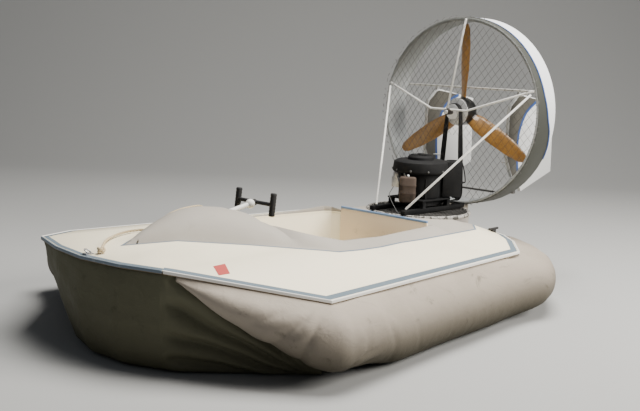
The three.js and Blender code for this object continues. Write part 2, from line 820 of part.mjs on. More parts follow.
// Belt from the crank pulley, round two idlers, up to the propeller pulley
function beltPath() {
  const half = [];
  for (let i = 0; i <= 5; i += 1) {
    const a = (i / 5) * (Math.PI / 2);
    half.push([LIFT_X + beltAtCrank * Math.cos(a), beltAtCrank * Math.sin(a), CRANK_PULLEY_Z]);
  }
  for (let i = 0; i <= 4; i += 1) {
    const a = (i / 4) * (Math.PI / 2);
    half.push([idlerX - beltAtIdler * Math.sin(a), beltAtCrank, idlerZ - beltAtIdler * Math.cos(a)]);
  }
  for (let i = 0; i <= 6; i += 1) {
    const a = (i / 6) * (Math.PI / 2);
    half.push([PROP_PULLEY_X, beltAtProp * Math.cos(a), DUCT_Z + beltAtProp * Math.sin(a)]);
  }
  return [...half, ...mirrored(half.slice(1, -1)).reverse()];
}

function loopSweep(points, radius, sides) {
  const count = points.length;
  const lean = new THREE.Vector3(1, 1.3, 1.1).normalize();
  const positions = [];
  const index = [];
  points.forEach((p, i) => {
    const before = new THREE.Vector3(...points[(i + count - 1) % count]);
    const after = new THREE.Vector3(...points[(i + 1) % count]);
    const run = after.sub(before).normalize();
    const u = new THREE.Vector3().crossVectors(run, lean).normalize();
    const v = new THREE.Vector3().crossVectors(run, u);
    for (let k = 0; k < sides; k += 1) {
      const a = (k / sides) * 2 * Math.PI;
      const q = u.clone().multiplyScalar(radius * Math.cos(a))
        .addScaledVector(v, radius * Math.sin(a));
      positions.push(p[0] + q.x, p[1] + q.y, p[2] + q.z);
      const [a0, a1] = [i * sides + k, i * sides + ((k + 1) % sides)];
      const j = (i + 1) % count;
      const [b0, b1] = [j * sides + k, j * sides + ((k + 1) % sides)];
      index.push(a0, b0, b1, a0, b1, a1);
    }
  });
  const g = new THREE.BufferGeometry();
  g.setAttribute('position', new THREE.BufferAttribute(new Float32Array(positions), 3));
  g.setIndex(index);
  return solid(faceOutwards(g));
}
add('drive_belt', loopSweep(beltPath(), BELT / 2, 6), 'rubber');

const idlerParts = [
  box(idlerX - 24, idlerX + 22, -130, 130, BEARER.top + GAP, BEARER.top + 4),
  box(idlerX - 16, idlerX + 16, -26, 26, BEARER.top + 2, idlerZ + 16),
  rod([idlerX, -beltAtCrank - 18, idlerZ], [idlerX, beltAtCrank + 18, idlerZ], 10),
];
[-1, 1].forEach((side) => {
  const y = side * beltAtCrank;
  idlerParts.push(rod([idlerX, y - 16, idlerZ], [idlerX, y + 16, idlerZ], IDLER_R, 24));
});
add('idlers', union(idlerParts), 'alloy');

// Propeller on a shaft along the thrust ring's axis
const SHAFT_FRONT_X = -932;
const propRod = rod([SHAFT_FRONT_X, 0, DUCT_Z], [PROP_PULLEY_X, 0, DUCT_Z], 12.5, 16);
const propPulley = turnedAlong(
  [...pulleyProfile(PROP_PULLEY_R, PROP_PULLEY_HALF), [0, PROP_PULLEY_HALF]],
  32, PROP_PULLEY_X, 0, DUCT_Z,
);
// A bright disc between the pulley and the propeller's drum
const DISC_AFT_X = PROP_PULLEY_X - PROP_PULLEY_HALF - PROP_DISC_THICK;
const propDisc = rod(
  [DISC_AFT_X, 0, DUCT_Z], [DISC_AFT_X + PROP_DISC_THICK + 1, 0, DUCT_Z], PROP_DISC_R, 32,
);
add('prop_shaft', union([propPulley, propDisc, propRod]), 'alloy');
const DRUM = { fore: DISC_AFT_X - GAP, aft: -1140, r: 84 };
const drumLength = DRUM.fore - DRUM.aft;
const drum = turnedAlong(
  [[0, 0], [DRUM.r - 6, 0], [DRUM.r, 6], [DRUM.r, drumLength - 4], [DRUM.r - 4, drumLength],
    [0, drumLength]],
  32, DRUM.aft, 0, DUCT_Z,
);

// Blade sections: radius, chord, thickness, pitch in degrees
const BLADE = [
  [40, 70, 40, 48],
  [130, 104, 22, 40],
  [260, 112, 15, 29],
  [400, 96, 11, 22],
  [500, 66, 8, 18],
  [PROP_R, 30, 5, 17],
];
// Section of a blade, in shares of its chord and thickness
const BLADE_SECTION = [
  [-0.5, 0],
  [-0.3, 0.42],
  [0, 0.5],
  [0.3, 0.3],
  [0.5, 0],
  [0.3, -0.3],
  [0, -0.5],
  [-0.3, -0.42],
];

function bladeSolid(angle) {
  const rings = BLADE.map(([r, chord, thick, pitch]) => {
    const a = THREE.MathUtils.degToRad(pitch);
    return BLADE_SECTION.map(([c, t]) => {
      const [along, off] = [c * chord, t * thick];
      const x = along * Math.sin(a) + off * Math.cos(a);
      const y = along * Math.cos(a) - off * Math.sin(a);
      return [x, y, r];
    });
  });
  return solid(loft(rings)).rotate([angle, 0, 0]).translate([PROP_X, 0, DUCT_Z]);
}
const propellerParts = [drum];
for (let i = 0; i < PROP_BLADES; i += 1) {
  propellerParts.push(bladeSolid(PROP_ANGLE - 90 + (i * 360) / PROP_BLADES));
}
add('propeller', union(propellerParts), 'wood');

// Thrust ring
const ductProfile = closedRing([
  [DUCT_R - DUCT_WALL, -DUCT_DEPTH],
  [DUCT_R - 3, -DUCT_DEPTH],
  [DUCT_R, -DUCT_DEPTH + 6],
  [DUCT_R, -8],
  [DUCT_R - 6, 0],
  [DUCT_R - DUCT_WALL + 6, 0],
  [DUCT_R - DUCT_WALL, -8],
]);
add('thrust_ring', turnedAlong(ductProfile, 56, DUCT_X, 0, DUCT_Z), 'white');

const ductRoom = turnedAlong(
  [[0, -400], [DUCT_R + GAP, -400], [DUCT_R + GAP, 400], [0, 400]], 56, DUCT_X, 0, DUCT_Z,
);
const pedestal = box(-1078, -1024, -104, 104, 330, 500)
  .subtract(ductRoom)
  .subtract(hullSolid(0.6, 0).translate([0, 0, 0.6]))
  .decompose().sort((p, q) => q.volume() - p.volume())[0];
add('ring_pedestal', pedestal, 'grey');

// Tubes that hold the propeller bearing in the ring
const BEARING = { aft: -984, fore: -936, r: 18 };
const RIM_R = DUCT_R - DUCT_WALL / 2;
const rimPlace = (z) => Math.sqrt(RIM_R ** 2 - (z - DUCT_Z) ** 2);
const GUARD = { rimX: DUCT_X + TUBE_R + 1, rimZ: 1172, kneeX: -958, kneeY: 132, kneeZ: 1034 };
const guardReach = (z) => Math.sqrt((DUCT_R - DUCT_WALL) ** 2 - (z - DUCT_Z) ** 2);
const guardBar = union([
  bentTube([
    [GUARD.rimX, -guardReach(GUARD.rimZ), GUARD.rimZ],
    [GUARD.kneeX, -GUARD.kneeY, GUARD.kneeZ],
    [GUARD.kneeX, GUARD.kneeY, GUARD.kneeZ],
    [GUARD.rimX, guardReach(GUARD.rimZ), GUARD.rimZ],
  ], TUBE_R),
  rod([BEARING.aft, 0, DUCT_Z], [BEARING.fore, 0, DUCT_Z], BEARING.r, 20),
]).subtract(rod([-1000, 0, DUCT_Z], [-900, 0, DUCT_Z], 13.5, 20));
add('guard_bar', guardBar, 'tube');
add('top_strut',
  rod([GUARD.rimX, 30, DUCT_Z + RIM_R], [GUARD.kneeX, -8, GUARD.kneeZ + TUBE_R + 2], TUBE_R), 'tube');

const STAY = { rimZ: 1165, start: 21, footX: -452, footY: BEARER.y - 7, footZ: 480 };
[['port', 1], ['starboard', -1]].forEach(([word, side]) => {
  const top = new THREE.Vector3(GUARD.rimX, side * guardReach(STAY.rimZ), STAY.rimZ);
  const foot = new THREE.Vector3(STAY.footX, side * STAY.footY, STAY.footZ);
  const from = top.clone().lerp(foot, STAY.start / top.distanceTo(foot));
  add(`stay_${word}`, rod(from.toArray(), foot.toArray(), TUBE_R), 'tube');
});

// Bars across the ring's aft face, and the rudders between them
const barX = DUCT_REAR_X - TUBE_R - GAP;
add('rudder_bar_upper',
  rod([barX, -rimPlace(UPPER_BAR_Z), UPPER_BAR_Z], [barX, rimPlace(UPPER_BAR_Z), UPPER_BAR_Z], TUBE_R),
  'tube');

const PIVOT_Z = 634;
const RUDDER = [
  [-1144, 760],
  [-1144, 1035],
  [-1153, 1071],
  [-1230, 1137],
  [-1262, 1142],
  [-1640, 1082],
  [-1660, 652],
  [-1321, 547],
  [-1274, PIVOT_Z + 6],
  [-1212, PIVOT_Z + 6],
];
const HORN_Z = 720;
[['port', 1], ['starboard', -1]].forEach(([word, side]) => {
  const y = side * RUDDER_Y;
  const blade = union([
    sidePlate(RUDDER, y, RUDDER_THICK),
    rod([RUDDER_X, y, 700], [RUDDER_X, y, UPPER_BAR_Z - TUBE_R - 2], 9),
    box(RUDDER_X - 14, RUDDER_X + 14, side > 0 ? y - 78 : y, side > 0 ? y : y + 78, HORN_Z, HORN_Z + 6),
  ]);
  add(`rudder_${word}`, blade, 'white');
});

// The lower bar carries a pivot pin for each rudder
const lowerReach = rimPlace(LOWER_BAR_Z);
const lowerParts = [rod([barX, -lowerReach, LOWER_BAR_Z], [barX, lowerReach, LOWER_BAR_Z], TUBE_R)];
[1, -1].forEach((side) => {
  const y = side * RUDDER_Y;
  const [y0, y1] = [Math.min(side * 256, y + side * 14), Math.max(side * 256, y + side * 14)];
  lowerParts.push(box(DUCT_REAR_X - 26, DUCT_REAR_X - GAP, y0, y1, 538, 572));
  lowerParts.push(rod([RUDDER_X, y, 560], [RUDDER_X, y, PIVOT_Z], 9));
});
add('rudder_bar_lower', union(lowerParts), 'black');

// Fittings and the painter rope
function deckHeight(x, y) {
  const m = fullHull.getMesh();
  const corner = (t, k) => {
    const i = m.triVerts[3 * t + k] * m.numProp;
    return new THREE.Vector3(...m.vertProperties.slice(i, i + 3));
  };
  let height = Infinity;
  for (let t = 0; t < m.numTri; t += 1) {
    const [a, b, c] = [corner(t, 0), corner(t, 1), corner(t, 2)];
    const normal = b.sub(a).cross(c.sub(a));
    if (normal.z > 1e-3) {
      const z = a.z - (normal.x * (x - a.x) + normal.y * (y - a.y)) / normal.z;
      height = Math.min(height, z);
    }
  }
  return height;
}

function topHeight(x, y) {
  const half = table(BORDER, x)[0];
  const onCowl = x < 1400 && Math.abs(y) < half;
  return Math.max(deckHeight(x, y), onCowl ? cowlHeight(x, y) : 0);
}

const EYE = { x: 1592, r: 15, wire: 3.2 };
const eyeZ = deckHeight(EYE.x, 0);
const eyeLoop = new THREE.TorusGeometry(EYE.r, EYE.wire, 8, 20);
eyeLoop.rotateX(Math.PI / 2);
eyeLoop.rotateZ(0.3);
const eyeRing = solid(eyeLoop).rotate([64, 0, 0]).translate([EYE.x, 0, eyeZ + EYE.r - 1]);
const eyeBase = box(EYE.x - 22, EYE.x + 16, -17, 17, eyeZ - 10, eyeZ + 5);
add('bow_eye', eyeRing.add(eyeBase).subtract(fullHull.translate([0, 0, GAP])), 'black');

const ROPE_R = 6;
const KNOT_R = 16;
const KNOT = [1552, 40];
const knotZ = deckHeight(...KNOT) + KNOT_R + 1;
add('painter_knot', ball([...KNOT, knotZ], KNOT_R, 12), 'rope');

// Plan of the rope from the knot over the foredeck and the cowl's starboard shoulder
const ROPE_PLAN = [
  [1500, -22],
  [1440, -88],
  [1376, -134],
  [1310, -158],
  [1262, -162],
  [1210, -156],
  [1160, -152],
  [1098, -156],
  [1015, -172],
  [940, -188],
  [868, -197],
  [805, -203],
  [766, -212],
];
const CLEAT = [748, -222];
const cleatZ = topHeight(...CLEAT);
const ropePoints = ROPE_PLAN.map(([x, y]) => (
  new THREE.Vector3(x, y, topHeight(x, y) + 1.4 * ROPE_R + 3)
));
const knotSide = ropePoints[0].clone().sub(new THREE.Vector3(...KNOT, knotZ)).normalize();
ropePoints.unshift(new THREE.Vector3(...KNOT, knotZ).addScaledVector(knotSide, KNOT_R + 1));
const ropeRun = new THREE.CatmullRomCurve3(ropePoints);
const ropeSection = new THREE.Shape();
ropeSection.absarc(0, 0, ROPE_R, 0, 2 * Math.PI);
const ropeTube = new THREE.ExtrudeGeometry(ropeSection, {
  steps: 44, bevelEnabled: false, extrudePath: ropeRun, curveSegments: 4,
});
add('painter', solid(ropeTube), 'rope');

const cleat = union([
  box(CLEAT[0] - 12, CLEAT[0] + 12, CLEAT[1] - 8, CLEAT[1] + 8, cleatZ - 20, cleatZ + 12),
  rod([CLEAT[0] - 4, CLEAT[1] - 30, cleatZ + 15], [CLEAT[0] - 4, CLEAT[1] + 4, cleatZ + 17], 6),
]).subtract(cowlSolid(GAP)).decompose().sort((p, q) => q.volume() - p.volume())[0];
add('painter_cleat', cleat, 'alloy');

const STERN_CLEAT = [-880, 425];
const sternZ = deckHeight(...STERN_CLEAT);
const sternCleat = union([
  box(STERN_CLEAT[0] - 16, STERN_CLEAT[0] + 16, STERN_CLEAT[1] - 9, STERN_CLEAT[1] + 9,
    sternZ - 12, sternZ + 16),
  rod([STERN_CLEAT[0] - 44, STERN_CLEAT[1], sternZ + 20],
    [STERN_CLEAT[0] + 44, STERN_CLEAT[1], sternZ + 20], 7),
]).subtract(fullHull.translate([0, 0, GAP]))
  .decompose().sort((p, q) => q.volume() - p.volume())[0];
add('stern_cleat', sternCleat, 'alloy');

export default craft;
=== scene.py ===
"""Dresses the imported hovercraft: camera, rope, paint, cloth skirt, nets, engine and propeller."""
from math import acos, atan2, cos, degrees, exp, hypot, pi, radians, sin, sqrt

import bpy
import numpy as np
from mathutils import Matrix, Vector, noise
from mathutils.bvhtree import BVHTree


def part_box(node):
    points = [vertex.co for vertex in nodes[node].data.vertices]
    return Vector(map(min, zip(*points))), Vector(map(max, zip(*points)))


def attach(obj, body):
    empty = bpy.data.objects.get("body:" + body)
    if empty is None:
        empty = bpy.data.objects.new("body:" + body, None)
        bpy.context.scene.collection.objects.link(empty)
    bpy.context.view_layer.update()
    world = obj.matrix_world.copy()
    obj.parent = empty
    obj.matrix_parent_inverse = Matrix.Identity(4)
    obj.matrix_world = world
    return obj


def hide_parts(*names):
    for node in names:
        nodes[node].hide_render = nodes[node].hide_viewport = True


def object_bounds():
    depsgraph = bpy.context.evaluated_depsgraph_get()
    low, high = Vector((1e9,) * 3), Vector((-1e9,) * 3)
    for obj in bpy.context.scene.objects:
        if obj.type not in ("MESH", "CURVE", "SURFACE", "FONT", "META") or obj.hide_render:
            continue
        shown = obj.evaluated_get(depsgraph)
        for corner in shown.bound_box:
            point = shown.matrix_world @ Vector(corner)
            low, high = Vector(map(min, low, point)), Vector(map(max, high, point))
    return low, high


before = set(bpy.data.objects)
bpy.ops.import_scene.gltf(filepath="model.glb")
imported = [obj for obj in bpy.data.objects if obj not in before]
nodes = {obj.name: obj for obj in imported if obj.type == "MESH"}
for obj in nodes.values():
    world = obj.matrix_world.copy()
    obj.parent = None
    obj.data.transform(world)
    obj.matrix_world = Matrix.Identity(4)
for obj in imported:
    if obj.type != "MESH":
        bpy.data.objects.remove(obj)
CAD_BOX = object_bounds()

# Shared sizes, in metres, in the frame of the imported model
SHIFT = 0.01295
DUCT_X = -1.050 + SHIFT
DUCT_Z = 1.020
DUCT_R = 0.570
DUCT_DEPTH = 0.180
LIFT_X = -0.712 + SHIFT
LIFT_INNER_R = 0.288
PULLEY_X = -1.018 + SHIFT
DRUM_R = 0.084
RUDDER_Y = 0.306
ROPE_R = 0.006
# A point and a direction on the propeller's axis and on the lift fan's
SHAFT_AXIS = ((0, 0, DUCT_Z), (1, 0, 0))
LIFT_AXIS = ((LIFT_X, 0, 0), (0, 0, 1))
SIDES = (("port", 1), ("starboard", -1))

# Deck edge from the bow's middle to the stern, port half: x, y, z
EDGE = [
    (1.622, 0.000, 0.444), (1.598, 0.230, 0.446), (1.537, 0.448, 0.449), (1.070, 0.945, 0.353),
    (-0.533, 0.813, 0.343), (-0.800, 0.610, 0.336), (-0.940, 0.455, 0.333), (-1.029, 0.306, 0.328),
    (-1.055, 0.150, 0.328), (-1.058, 0.000, 0.328),
]
# Line between the white deck and the grey cowl, port half: x, y
BORDER = [
    (1.400, 0.000), (1.200, 0.120), (0.900, 0.300), (0.550, 0.505), (0.406, 0.518), (0.258, 0.518),
    (0.080, 0.501), (-0.086, 0.500), (-0.640, 0.455), (-0.800, 0.330),
]


# Helpers

def linked(obj):
    bpy.context.scene.collection.objects.link(obj)
    return obj


def mesh_object(name, verts, faces, material=None, smooth=True):
    mesh = bpy.data.meshes.new(name)
    mesh.from_pydata([tuple(v) for v in verts], [], faces)
    mesh.validate()
    mesh.update()
    for p in mesh.polygons:
        p.use_smooth = smooth
    obj = linked(bpy.data.objects.new(name, mesh))
    if material is not None:
        mesh.materials.append(material)
    return obj


def own(obj, slot, *replaced, body="craft"):
    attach(obj, body)
    if replaced:
        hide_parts(*replaced)
    return obj


def surface_of(*names):
    """One search tree over the faces of these CAD nodes."""
    verts, faces = [], []
    for n in names:
        base = len(verts)
        mesh = nodes[n].data
        verts += [v.co.copy() for v in mesh.vertices]
        faces += [[base + i for i in p.vertices] for p in mesh.polygons]
    return BVHTree.FromPolygons(verts, faces)


def drop(tree, x, y, start=2.0):
    hit = tree.ray_cast(Vector((x, y, start)), Vector((0, 0, -1)))[0]
    return hit.z if hit is not None else None


def circle(count, start=0.0):
    """Cosine and sine of even steps round a circle."""
    angles = [2 * pi * (k + start) / count for k in range(count)]
    return [(cos(a), sin(a)) for a in angles]


def grid_faces(rows, wide, around=False, closed=False):
    """Quads between rows of points: around joins a row's ends, closed the last row and the first."""
    faces = []
    for i in range(rows if closed else rows - 1):
        ahead = ((i + 1) % rows - i) * wide
        for k in range(wide if around else wide - 1):
            a, b = i * wide + k, i * wide + (k + 1) % wide
            faces.append([a, b, b + ahead, a + ahead])
    return faces


def end_caps(rows, wide):
    return [list(range(wide))[::-1], [(rows - 1) * wide + k for k in range(wide)]]


def face_towards(obj, direction):
    """Turns the faces over if the first looks away from this direction."""
    if obj.data.polygons[0].normal.dot(Vector(direction)) < 0:
        obj.data.flip_normals()
    return obj


def tube(name, points, radius, material, sides=8, closed=False):
    """A round bar or wire through points."""
    pts = [Vector(p) for p in points]
    count = len(pts)
    verts = []
    around = circle(sides)
    up = Vector((0.31, 0.22, 0.93)).normalized()
    for i, p in enumerate(pts):
        before = pts[(i - 1) % count] if closed or i else pts[0]
        after = pts[(i + 1) % count] if closed or i + 1 < count else pts[-1]
        run = (after - before).normalized()
        side = run.cross(up)
        if side.length < 1e-4:
            side = run.cross(Vector((1, 0, 0)))
        side.normalize()
        up = side.cross(run).normalized()
        verts += [p + (side * c + up * s) * radius for c, s in around]
    faces = grid_faces(count, sides, True, closed)
    if not closed:
        faces += end_caps(count, sides)
    return mesh_object(name, verts, faces, material)


def join(name, objs):
    """Joins meshes into one object."""
    verts, faces = [], []
    materials, slots = [], []
    for o in objs:
        base = len(verts)
        world = o.matrix_world
        verts += [world @ v.co for v in o.data.vertices]
        m = o.data.materials[0]
        if m not in materials:
            materials.append(m)
        for p in o.data.polygons:
            faces.append([base + i for i in p.vertices])
            slots.append((materials.index(m), p.use_smooth))
        bpy.data.objects.remove(o)
    made = mesh_object(name, verts, faces)
    for m in materials:
        made.data.materials.append(m)
    for p, (index, smooth) in zip(made.data.polygons, slots):
        p.material_index = index
        p.use_smooth = smooth
    return made


def copy_of(node, name, material):
    mesh = nodes[node].data.copy()
    mesh.materials.clear()
    mesh.materials.append(material)
    return linked(bpy.data.objects.new(name, mesh))


def bake_modifiers(obj):
    dg = bpy.context.evaluated_depsgraph_get()
    done = bpy.data.meshes.new_from_object(obj.evaluated_get(dg))
    obj.modifiers.clear()
    obj.data = done


def even_out(obj, voxel, passes):
    """Rebuilds a mesh in even faces and eases its edges."""
    remesh = obj.modifiers.new("remesh", "REMESH")
    remesh.mode = "VOXEL"
    remesh.voxel_size = voxel
    ease = obj.modifiers.new("ease", "SMOOTH")
    ease.factor = 0.5
    ease.iterations = passes
    bake_modifiers(obj)


def smooth_faces(mesh):
    for p in mesh.polygons:
        p.use_smooth = True


# Materials

class Paint:
    """A material made of a few noise layers over one base colour."""

    def __init__(self, name, colour, rough=0.5, metal=0.0, coat=0.0):
        self.mat = bpy.data.materials.new(name)
        self.mat.use_nodes = True
        self.tree = self.mat.node_tree
        self.shader = self.tree.nodes["Principled BSDF"]
        self.colour = (*colour, 1)
        self.height = None
        self.fill(self.shader, {"Base Color": self.colour, "Roughness": rough, "Metallic": metal,
                                "Coat Weight": coat, "Coat Roughness": 0.12})
        self.place = self.node("TexCoord", "Object", {})

    def fill(self, node, inputs):
        """Sets a node's inputs by value, or by a link where the value is another node's output."""
        for key, value in inputs.items():
            if isinstance(value, bpy.types.NodeSocket):
                self.tree.links.new(value, node.inputs[key])
            else:
                node.inputs[key].default_value = value

    def node(self, kind, output, inputs, **settings):
        """The output of a new node."""
        made = self.tree.nodes.new("ShaderNode" + kind)
        for key, value in settings.items():
            setattr(made, key, value)
        self.fill(made, inputs)
        return made.outputs[output]

    def noise(self, scale, detail=4.0, rough=0.55, stretch=(1, 1, 1), distort=0.0):
        place = self.node("Mapping", "Vector", {"Vector": self.place, "Scale": stretch})
        return self.node("TexNoise", "Fac", {"Vector": place, "Scale": scale, "Detail": detail,
                                             "Roughness": rough, "Distortion": distort})

    def ramp(self, value, low, high, shape="SMOOTHSTEP"):
        return self.node("MapRange", "Result", {"Value": value, "From Min": low, "From Max": high},
                         interpolation_type=shape)

    def times(self, a, b):
        return self.node("Math", "Value", {0: a, 1: b}, operation="MULTIPLY")

    def tint(self, value, low, high, colour, amount=1.0):
        """Mixes a colour in where value lies above low, fully above high."""
        mask = self.times(self.ramp(value, low, high), amount)
        self.colour = self.node("Mix", "Result", {"Factor": mask, "A": self.colour, "B": (*colour, 1)},
                                data_type="RGBA")
        self.fill(self.shader, {"Base Color": self.colour})

    def rough(self, value, low, high):
        spread = self.node("MapRange", "Result", {"Value": value, "To Min": low, "To Max": high})
        self.fill(self.shader, {"Roughness": spread})

    def bump(self, value, depth):
        """Raises the surface by up to depth metres where value is high."""
        inputs = {"Strength": 1.0, "Distance": depth, "Height": value}
        if self.height is not None:
            inputs["Normal"] = self.height
        self.height = self.node("Bump", "Normal", inputs)
        self.fill(self.shader, {"Normal": self.height})

    def off_axis(self, centre, along):
        """Distance from a line through centre, in metres."""
        off = self.node("VectorMath", "Vector", {0: self.place, 1: centre}, operation="SUBTRACT")
        across = [0 if v else 1 for v in along]
        flat = self.node("VectorMath", "Vector", {0: off, 1: across}, operation="MULTIPLY")
        return self.node("VectorMath", "Value", {0: flat}, operation="LENGTH")

    def height_above(self):
        """Height over the ground, 0 at the floor and 1 a metre up."""
        return self.node("SeparateXYZ", "Z", {"Vector": self.place})

    def banded(self, axis, near, far, colour):
        """Another colour between two distances from an axis."""
        self.tint(self.off_axis(*axis), near, far, colour)
        return self.mat


def painted_layers(name, colour, rough, grime, amount=0.25):
    p = Paint(name, colour, rough)
    p.fill(p.shader, {"Specular IOR Level": 0.3})
    p.tint(p.noise(2.6, 5), 0.52, 0.72, [c * 0.93 for c in colour], 0.6)
    p.tint(p.noise(14, 8, 0.7), 0.58, 0.72, grime, amount)
    p.rough(p.noise(9, 5), rough - 0.08, rough + 0.12)
    p.bump(p.noise(5, 3), 0.0016)
    p.bump(p.noise(150, 2), 0.00008)
    return p


def painted(*look):
    return painted_layers(*look).mat


deck_white = painted("deck_white", (0.90, 0.815, 0.62), 0.5, (0.50, 0.45, 0.36), 0.10)
cowl_grey = painted("cowl_grey", (0.355, 0.325, 0.285), 0.7, (0.22, 0.20, 0.17), 0.25)
stripe_blue = painted("stripe_blue", (0.135, 0.175, 0.21), 0.5, (0.26, 0.29, 0.31), 0.6)
strip_worn = painted("strip_worn", (0.17, 0.21, 0.255), 0.5, (0.50, 0.51, 0.50), 0.75)
cowl_line_blue = painted("cowl_line_blue", (0.16, 0.205, 0.255), 0.5, (0.28, 0.31, 0.34), 0.5)
line_blue = painted("line_blue", (0.032, 0.070, 0.215), 0.45, (0.10, 0.14, 0.22), 0.3)
edge_white = painted("edge_white", (0.78, 0.76, 0.72), 0.42, (0.30, 0.26, 0.20), 0.35)
trim_blue = painted("trim_blue", (0.17, 0.27, 0.46), 0.42, (0.28, 0.34, 0.42), 0.3)
inside_cream = painted("inside_cream", (0.80, 0.655, 0.49), 0.6, (0.40, 0.31, 0.21), 0.3)
ring_pale = painted("ring_pale", (0.82, 0.83, 0.85), 0.38, (0.55, 0.54, 0.52), 0.12)
rudder_white = painted("rudder_white", (0.56, 0.565, 0.56), 0.42, (0.45, 0.43, 0.40), 0.18)
# Rudder nose: dark grey paint, made darker by painted shade
rudder_grey = painted("rudder_grey", (0.075, 0.070, 0.058), 0.5, (0.09, 0.085, 0.07), 0.3)
tube_white = painted("tube_white", (0.74, 0.73, 0.70), 0.4, (0.32, 0.26, 0.2), 0.28)


def ring_paint():
    # The outside ahead of the pale skin is near black with a green tint: painted shade and a painted
    # reflection over grey paint. The inside is lighter grey.
    p = painted_layers("ring_white", (0.048, 0.050, 0.042), 0.6, (0.045, 0.048, 0.040), 0.4)
    inside = (DUCT_R - 0.004, DUCT_R - 0.008)
    p.banded(SHAFT_AXIS, *inside, (0.44, 0.455, 0.46))
    # Painted shade: the upper half of the inside is darker
    upper = p.ramp(p.height_above(), 0.95, 1.45)
    upper_inside_shade = p.times(p.ramp(p.off_axis(*SHAFT_AXIS), *inside), upper)
    p.tint(upper_inside_shade, 0.0, 1.0, (0.125, 0.130, 0.120), 0.85)
    return p.mat


ring_white = ring_paint()
guard_white = painted_layers("guard_white", (0.74, 0.73, 0.70), 0.4, (0.32, 0.26, 0.2), 0.28).banded(
    SHAFT_AXIS, 0.024, 0.020, (0.035, 0.028, 0.025))
lift_ring_grey = painted_layers("lift_ring_grey", (0.33, 0.305, 0.285), 0.7, (0.22, 0.20, 0.17)).banded(
    LIFT_AXIS, LIFT_INNER_R + 0.006, LIFT_INNER_R + 0.002, (0.012, 0.012, 0.012))


def metal(name, colour, rough, grime, amount=0.4, metallic=0.9):
    p = Paint(name, colour, rough, metallic)
    p.fill(p.shader, {"Specular IOR Level": 0.5 if metallic > 0.3 else 0.2})
    p.tint(p.noise(22, 8, 0.65), 0.5, 0.72, grime, amount)
    p.rough(p.noise(60, 4), rough - 0.1, rough + 0.15)
    p.bump(p.noise(220, 3), 0.00012)
    return p.mat


engine_black = metal("engine_black", (0.006, 0.006, 0.0065), 0.72, (0.018, 0.016, 0.014), 0.5, 0.0)
engine_alloy = metal("engine_alloy", (0.42, 0.42, 0.43), 0.42, (0.12, 0.10, 0.08), 0.5)
bright_alloy = metal("bright_alloy", (0.84, 0.84, 0.84), 0.42, (0.45, 0.43, 0.40), 0.3, 0.55)
muffler_rust = metal("muffler_rust", (0.070, 0.052, 0.042), 0.9, (0.030, 0.024, 0.020), 0.8, 0.0)
wire_dark = metal("wire_dark", (0.10, 0.095, 0.09), 0.5, (0.05, 0.04, 0.035), 0.4, 0.5)
rubber = metal("rubber", (0.02, 0.02, 0.021), 0.75, (0.06, 0.056, 0.05), 0.5, 0.0)
grip_black = metal("grip_black", (0.022, 0.022, 0.023), 0.7, (0.05, 0.047, 0.043), 0.4, 0.0)
black_plain = metal("black_plain", (0.03, 0.03, 0.032), 0.6, (0.07, 0.06, 0.05), 0.4, 0.1)
decal_red = painted("decal_red", (0.46, 0.07, 0.06), 0.5, (0.6, 0.3, 0.28), 0.2)


def wood(name, colour, dark, rough, along, coat):
    p = Paint(name, colour, rough, coat=coat)
    grain = p.noise(26, 6, 0.6, along, 1.6)
    p.tint(grain, 0.42, 0.68, dark, 0.8)
    p.tint(p.noise(5, 4), 0.5, 0.75, [c * 0.75 for c in dark], 0.4)
    p.bump(grain, 0.0004)
    return p


prop_wood = wood("prop_wood", (0.46, 0.235, 0.055), (0.27, 0.115, 0.025), 0.34, (0.6, 3, 3), 0.4).banded(
    SHAFT_AXIS, DRUM_R + 0.012, DRUM_R + 0.004, (0.012, 0.012, 0.012))
runner_wood = wood("runner_wood", (0.26, 0.19, 0.12), (0.14, 0.10, 0.06), 0.8, (0.3, 4, 4), 0.0).mat


def cloth(name, colour, dirt_and_shade, shade, ground_shade):
    """Coated fabric with noise stains, and painted shade that makes it darker towards the ground by the last
    argument's share.
    """
    p = Paint(name, colour)
    p.fill(p.shader, {"Specular IOR Level": 0.12})
    p.tint(p.noise(1.7, 6, 0.6), 0.48, 0.7, shade, 0.55)
    p.tint(p.noise(7.0, 8, 0.72, (1, 1, 1.6), 0.6), 0.57, 0.74, dirt_and_shade, 0.5)
    # Painted shade: darker towards the ground
    p.tint(p.ramp(p.height_above(), 0.37, 0.03, "LINEAR"), 0.0, 1.0, dirt_and_shade, ground_shade)
    p.rough(p.noise(30, 5), 0.5, 0.74)
    p.bump(p.noise(22, 6, 0.6, (1, 1, 1.3), 0.8), 0.0028)
    p.bump(p.noise(900, 2), 0.00012)
    return p.mat


skirt_cloth = cloth("skirt_cloth", (0.375, 0.325, 0.27), (0.034, 0.030, 0.018), (0.30, 0.26, 0.21), 0.97)
# Bow bag: dark olive cloth; part of its darkness is painted shade of the bow face
bow_cloth = cloth("bow_cloth", (0.115, 0.112, 0.074), (0.046, 0.042, 0.026), (0.075, 0.073, 0.048), 0.5)


def rope_paint():
    p = Paint("rope_tan", (0.52, 0.42, 0.27), 0.85)
    p.tint(p.noise(320, 3), 0.45, 0.7, (0.30, 0.22, 0.13), 0.7)
    p.tint(p.noise(30, 5), 0.5, 0.7, (0.62, 0.54, 0.40), 0.5)
    p.bump(p.noise(700, 2), 0.0006)
    return p.mat


def vinyl_paint():
    p = Paint("seat_vinyl", (0.115, 0.108, 0.098), 0.55)
    p.fill(p.shader, {"Sheen Weight": 0.15})
    p.tint(p.noise(6, 6), 0.48, 0.7, (0.17, 0.155, 0.135), 0.6)
    p.tint(p.noise(45, 4), 0.6, 0.75, (0.07, 0.063, 0.055), 0.4)
    p.bump(p.noise(380, 3, 0.7), 0.00035)
    return p.mat


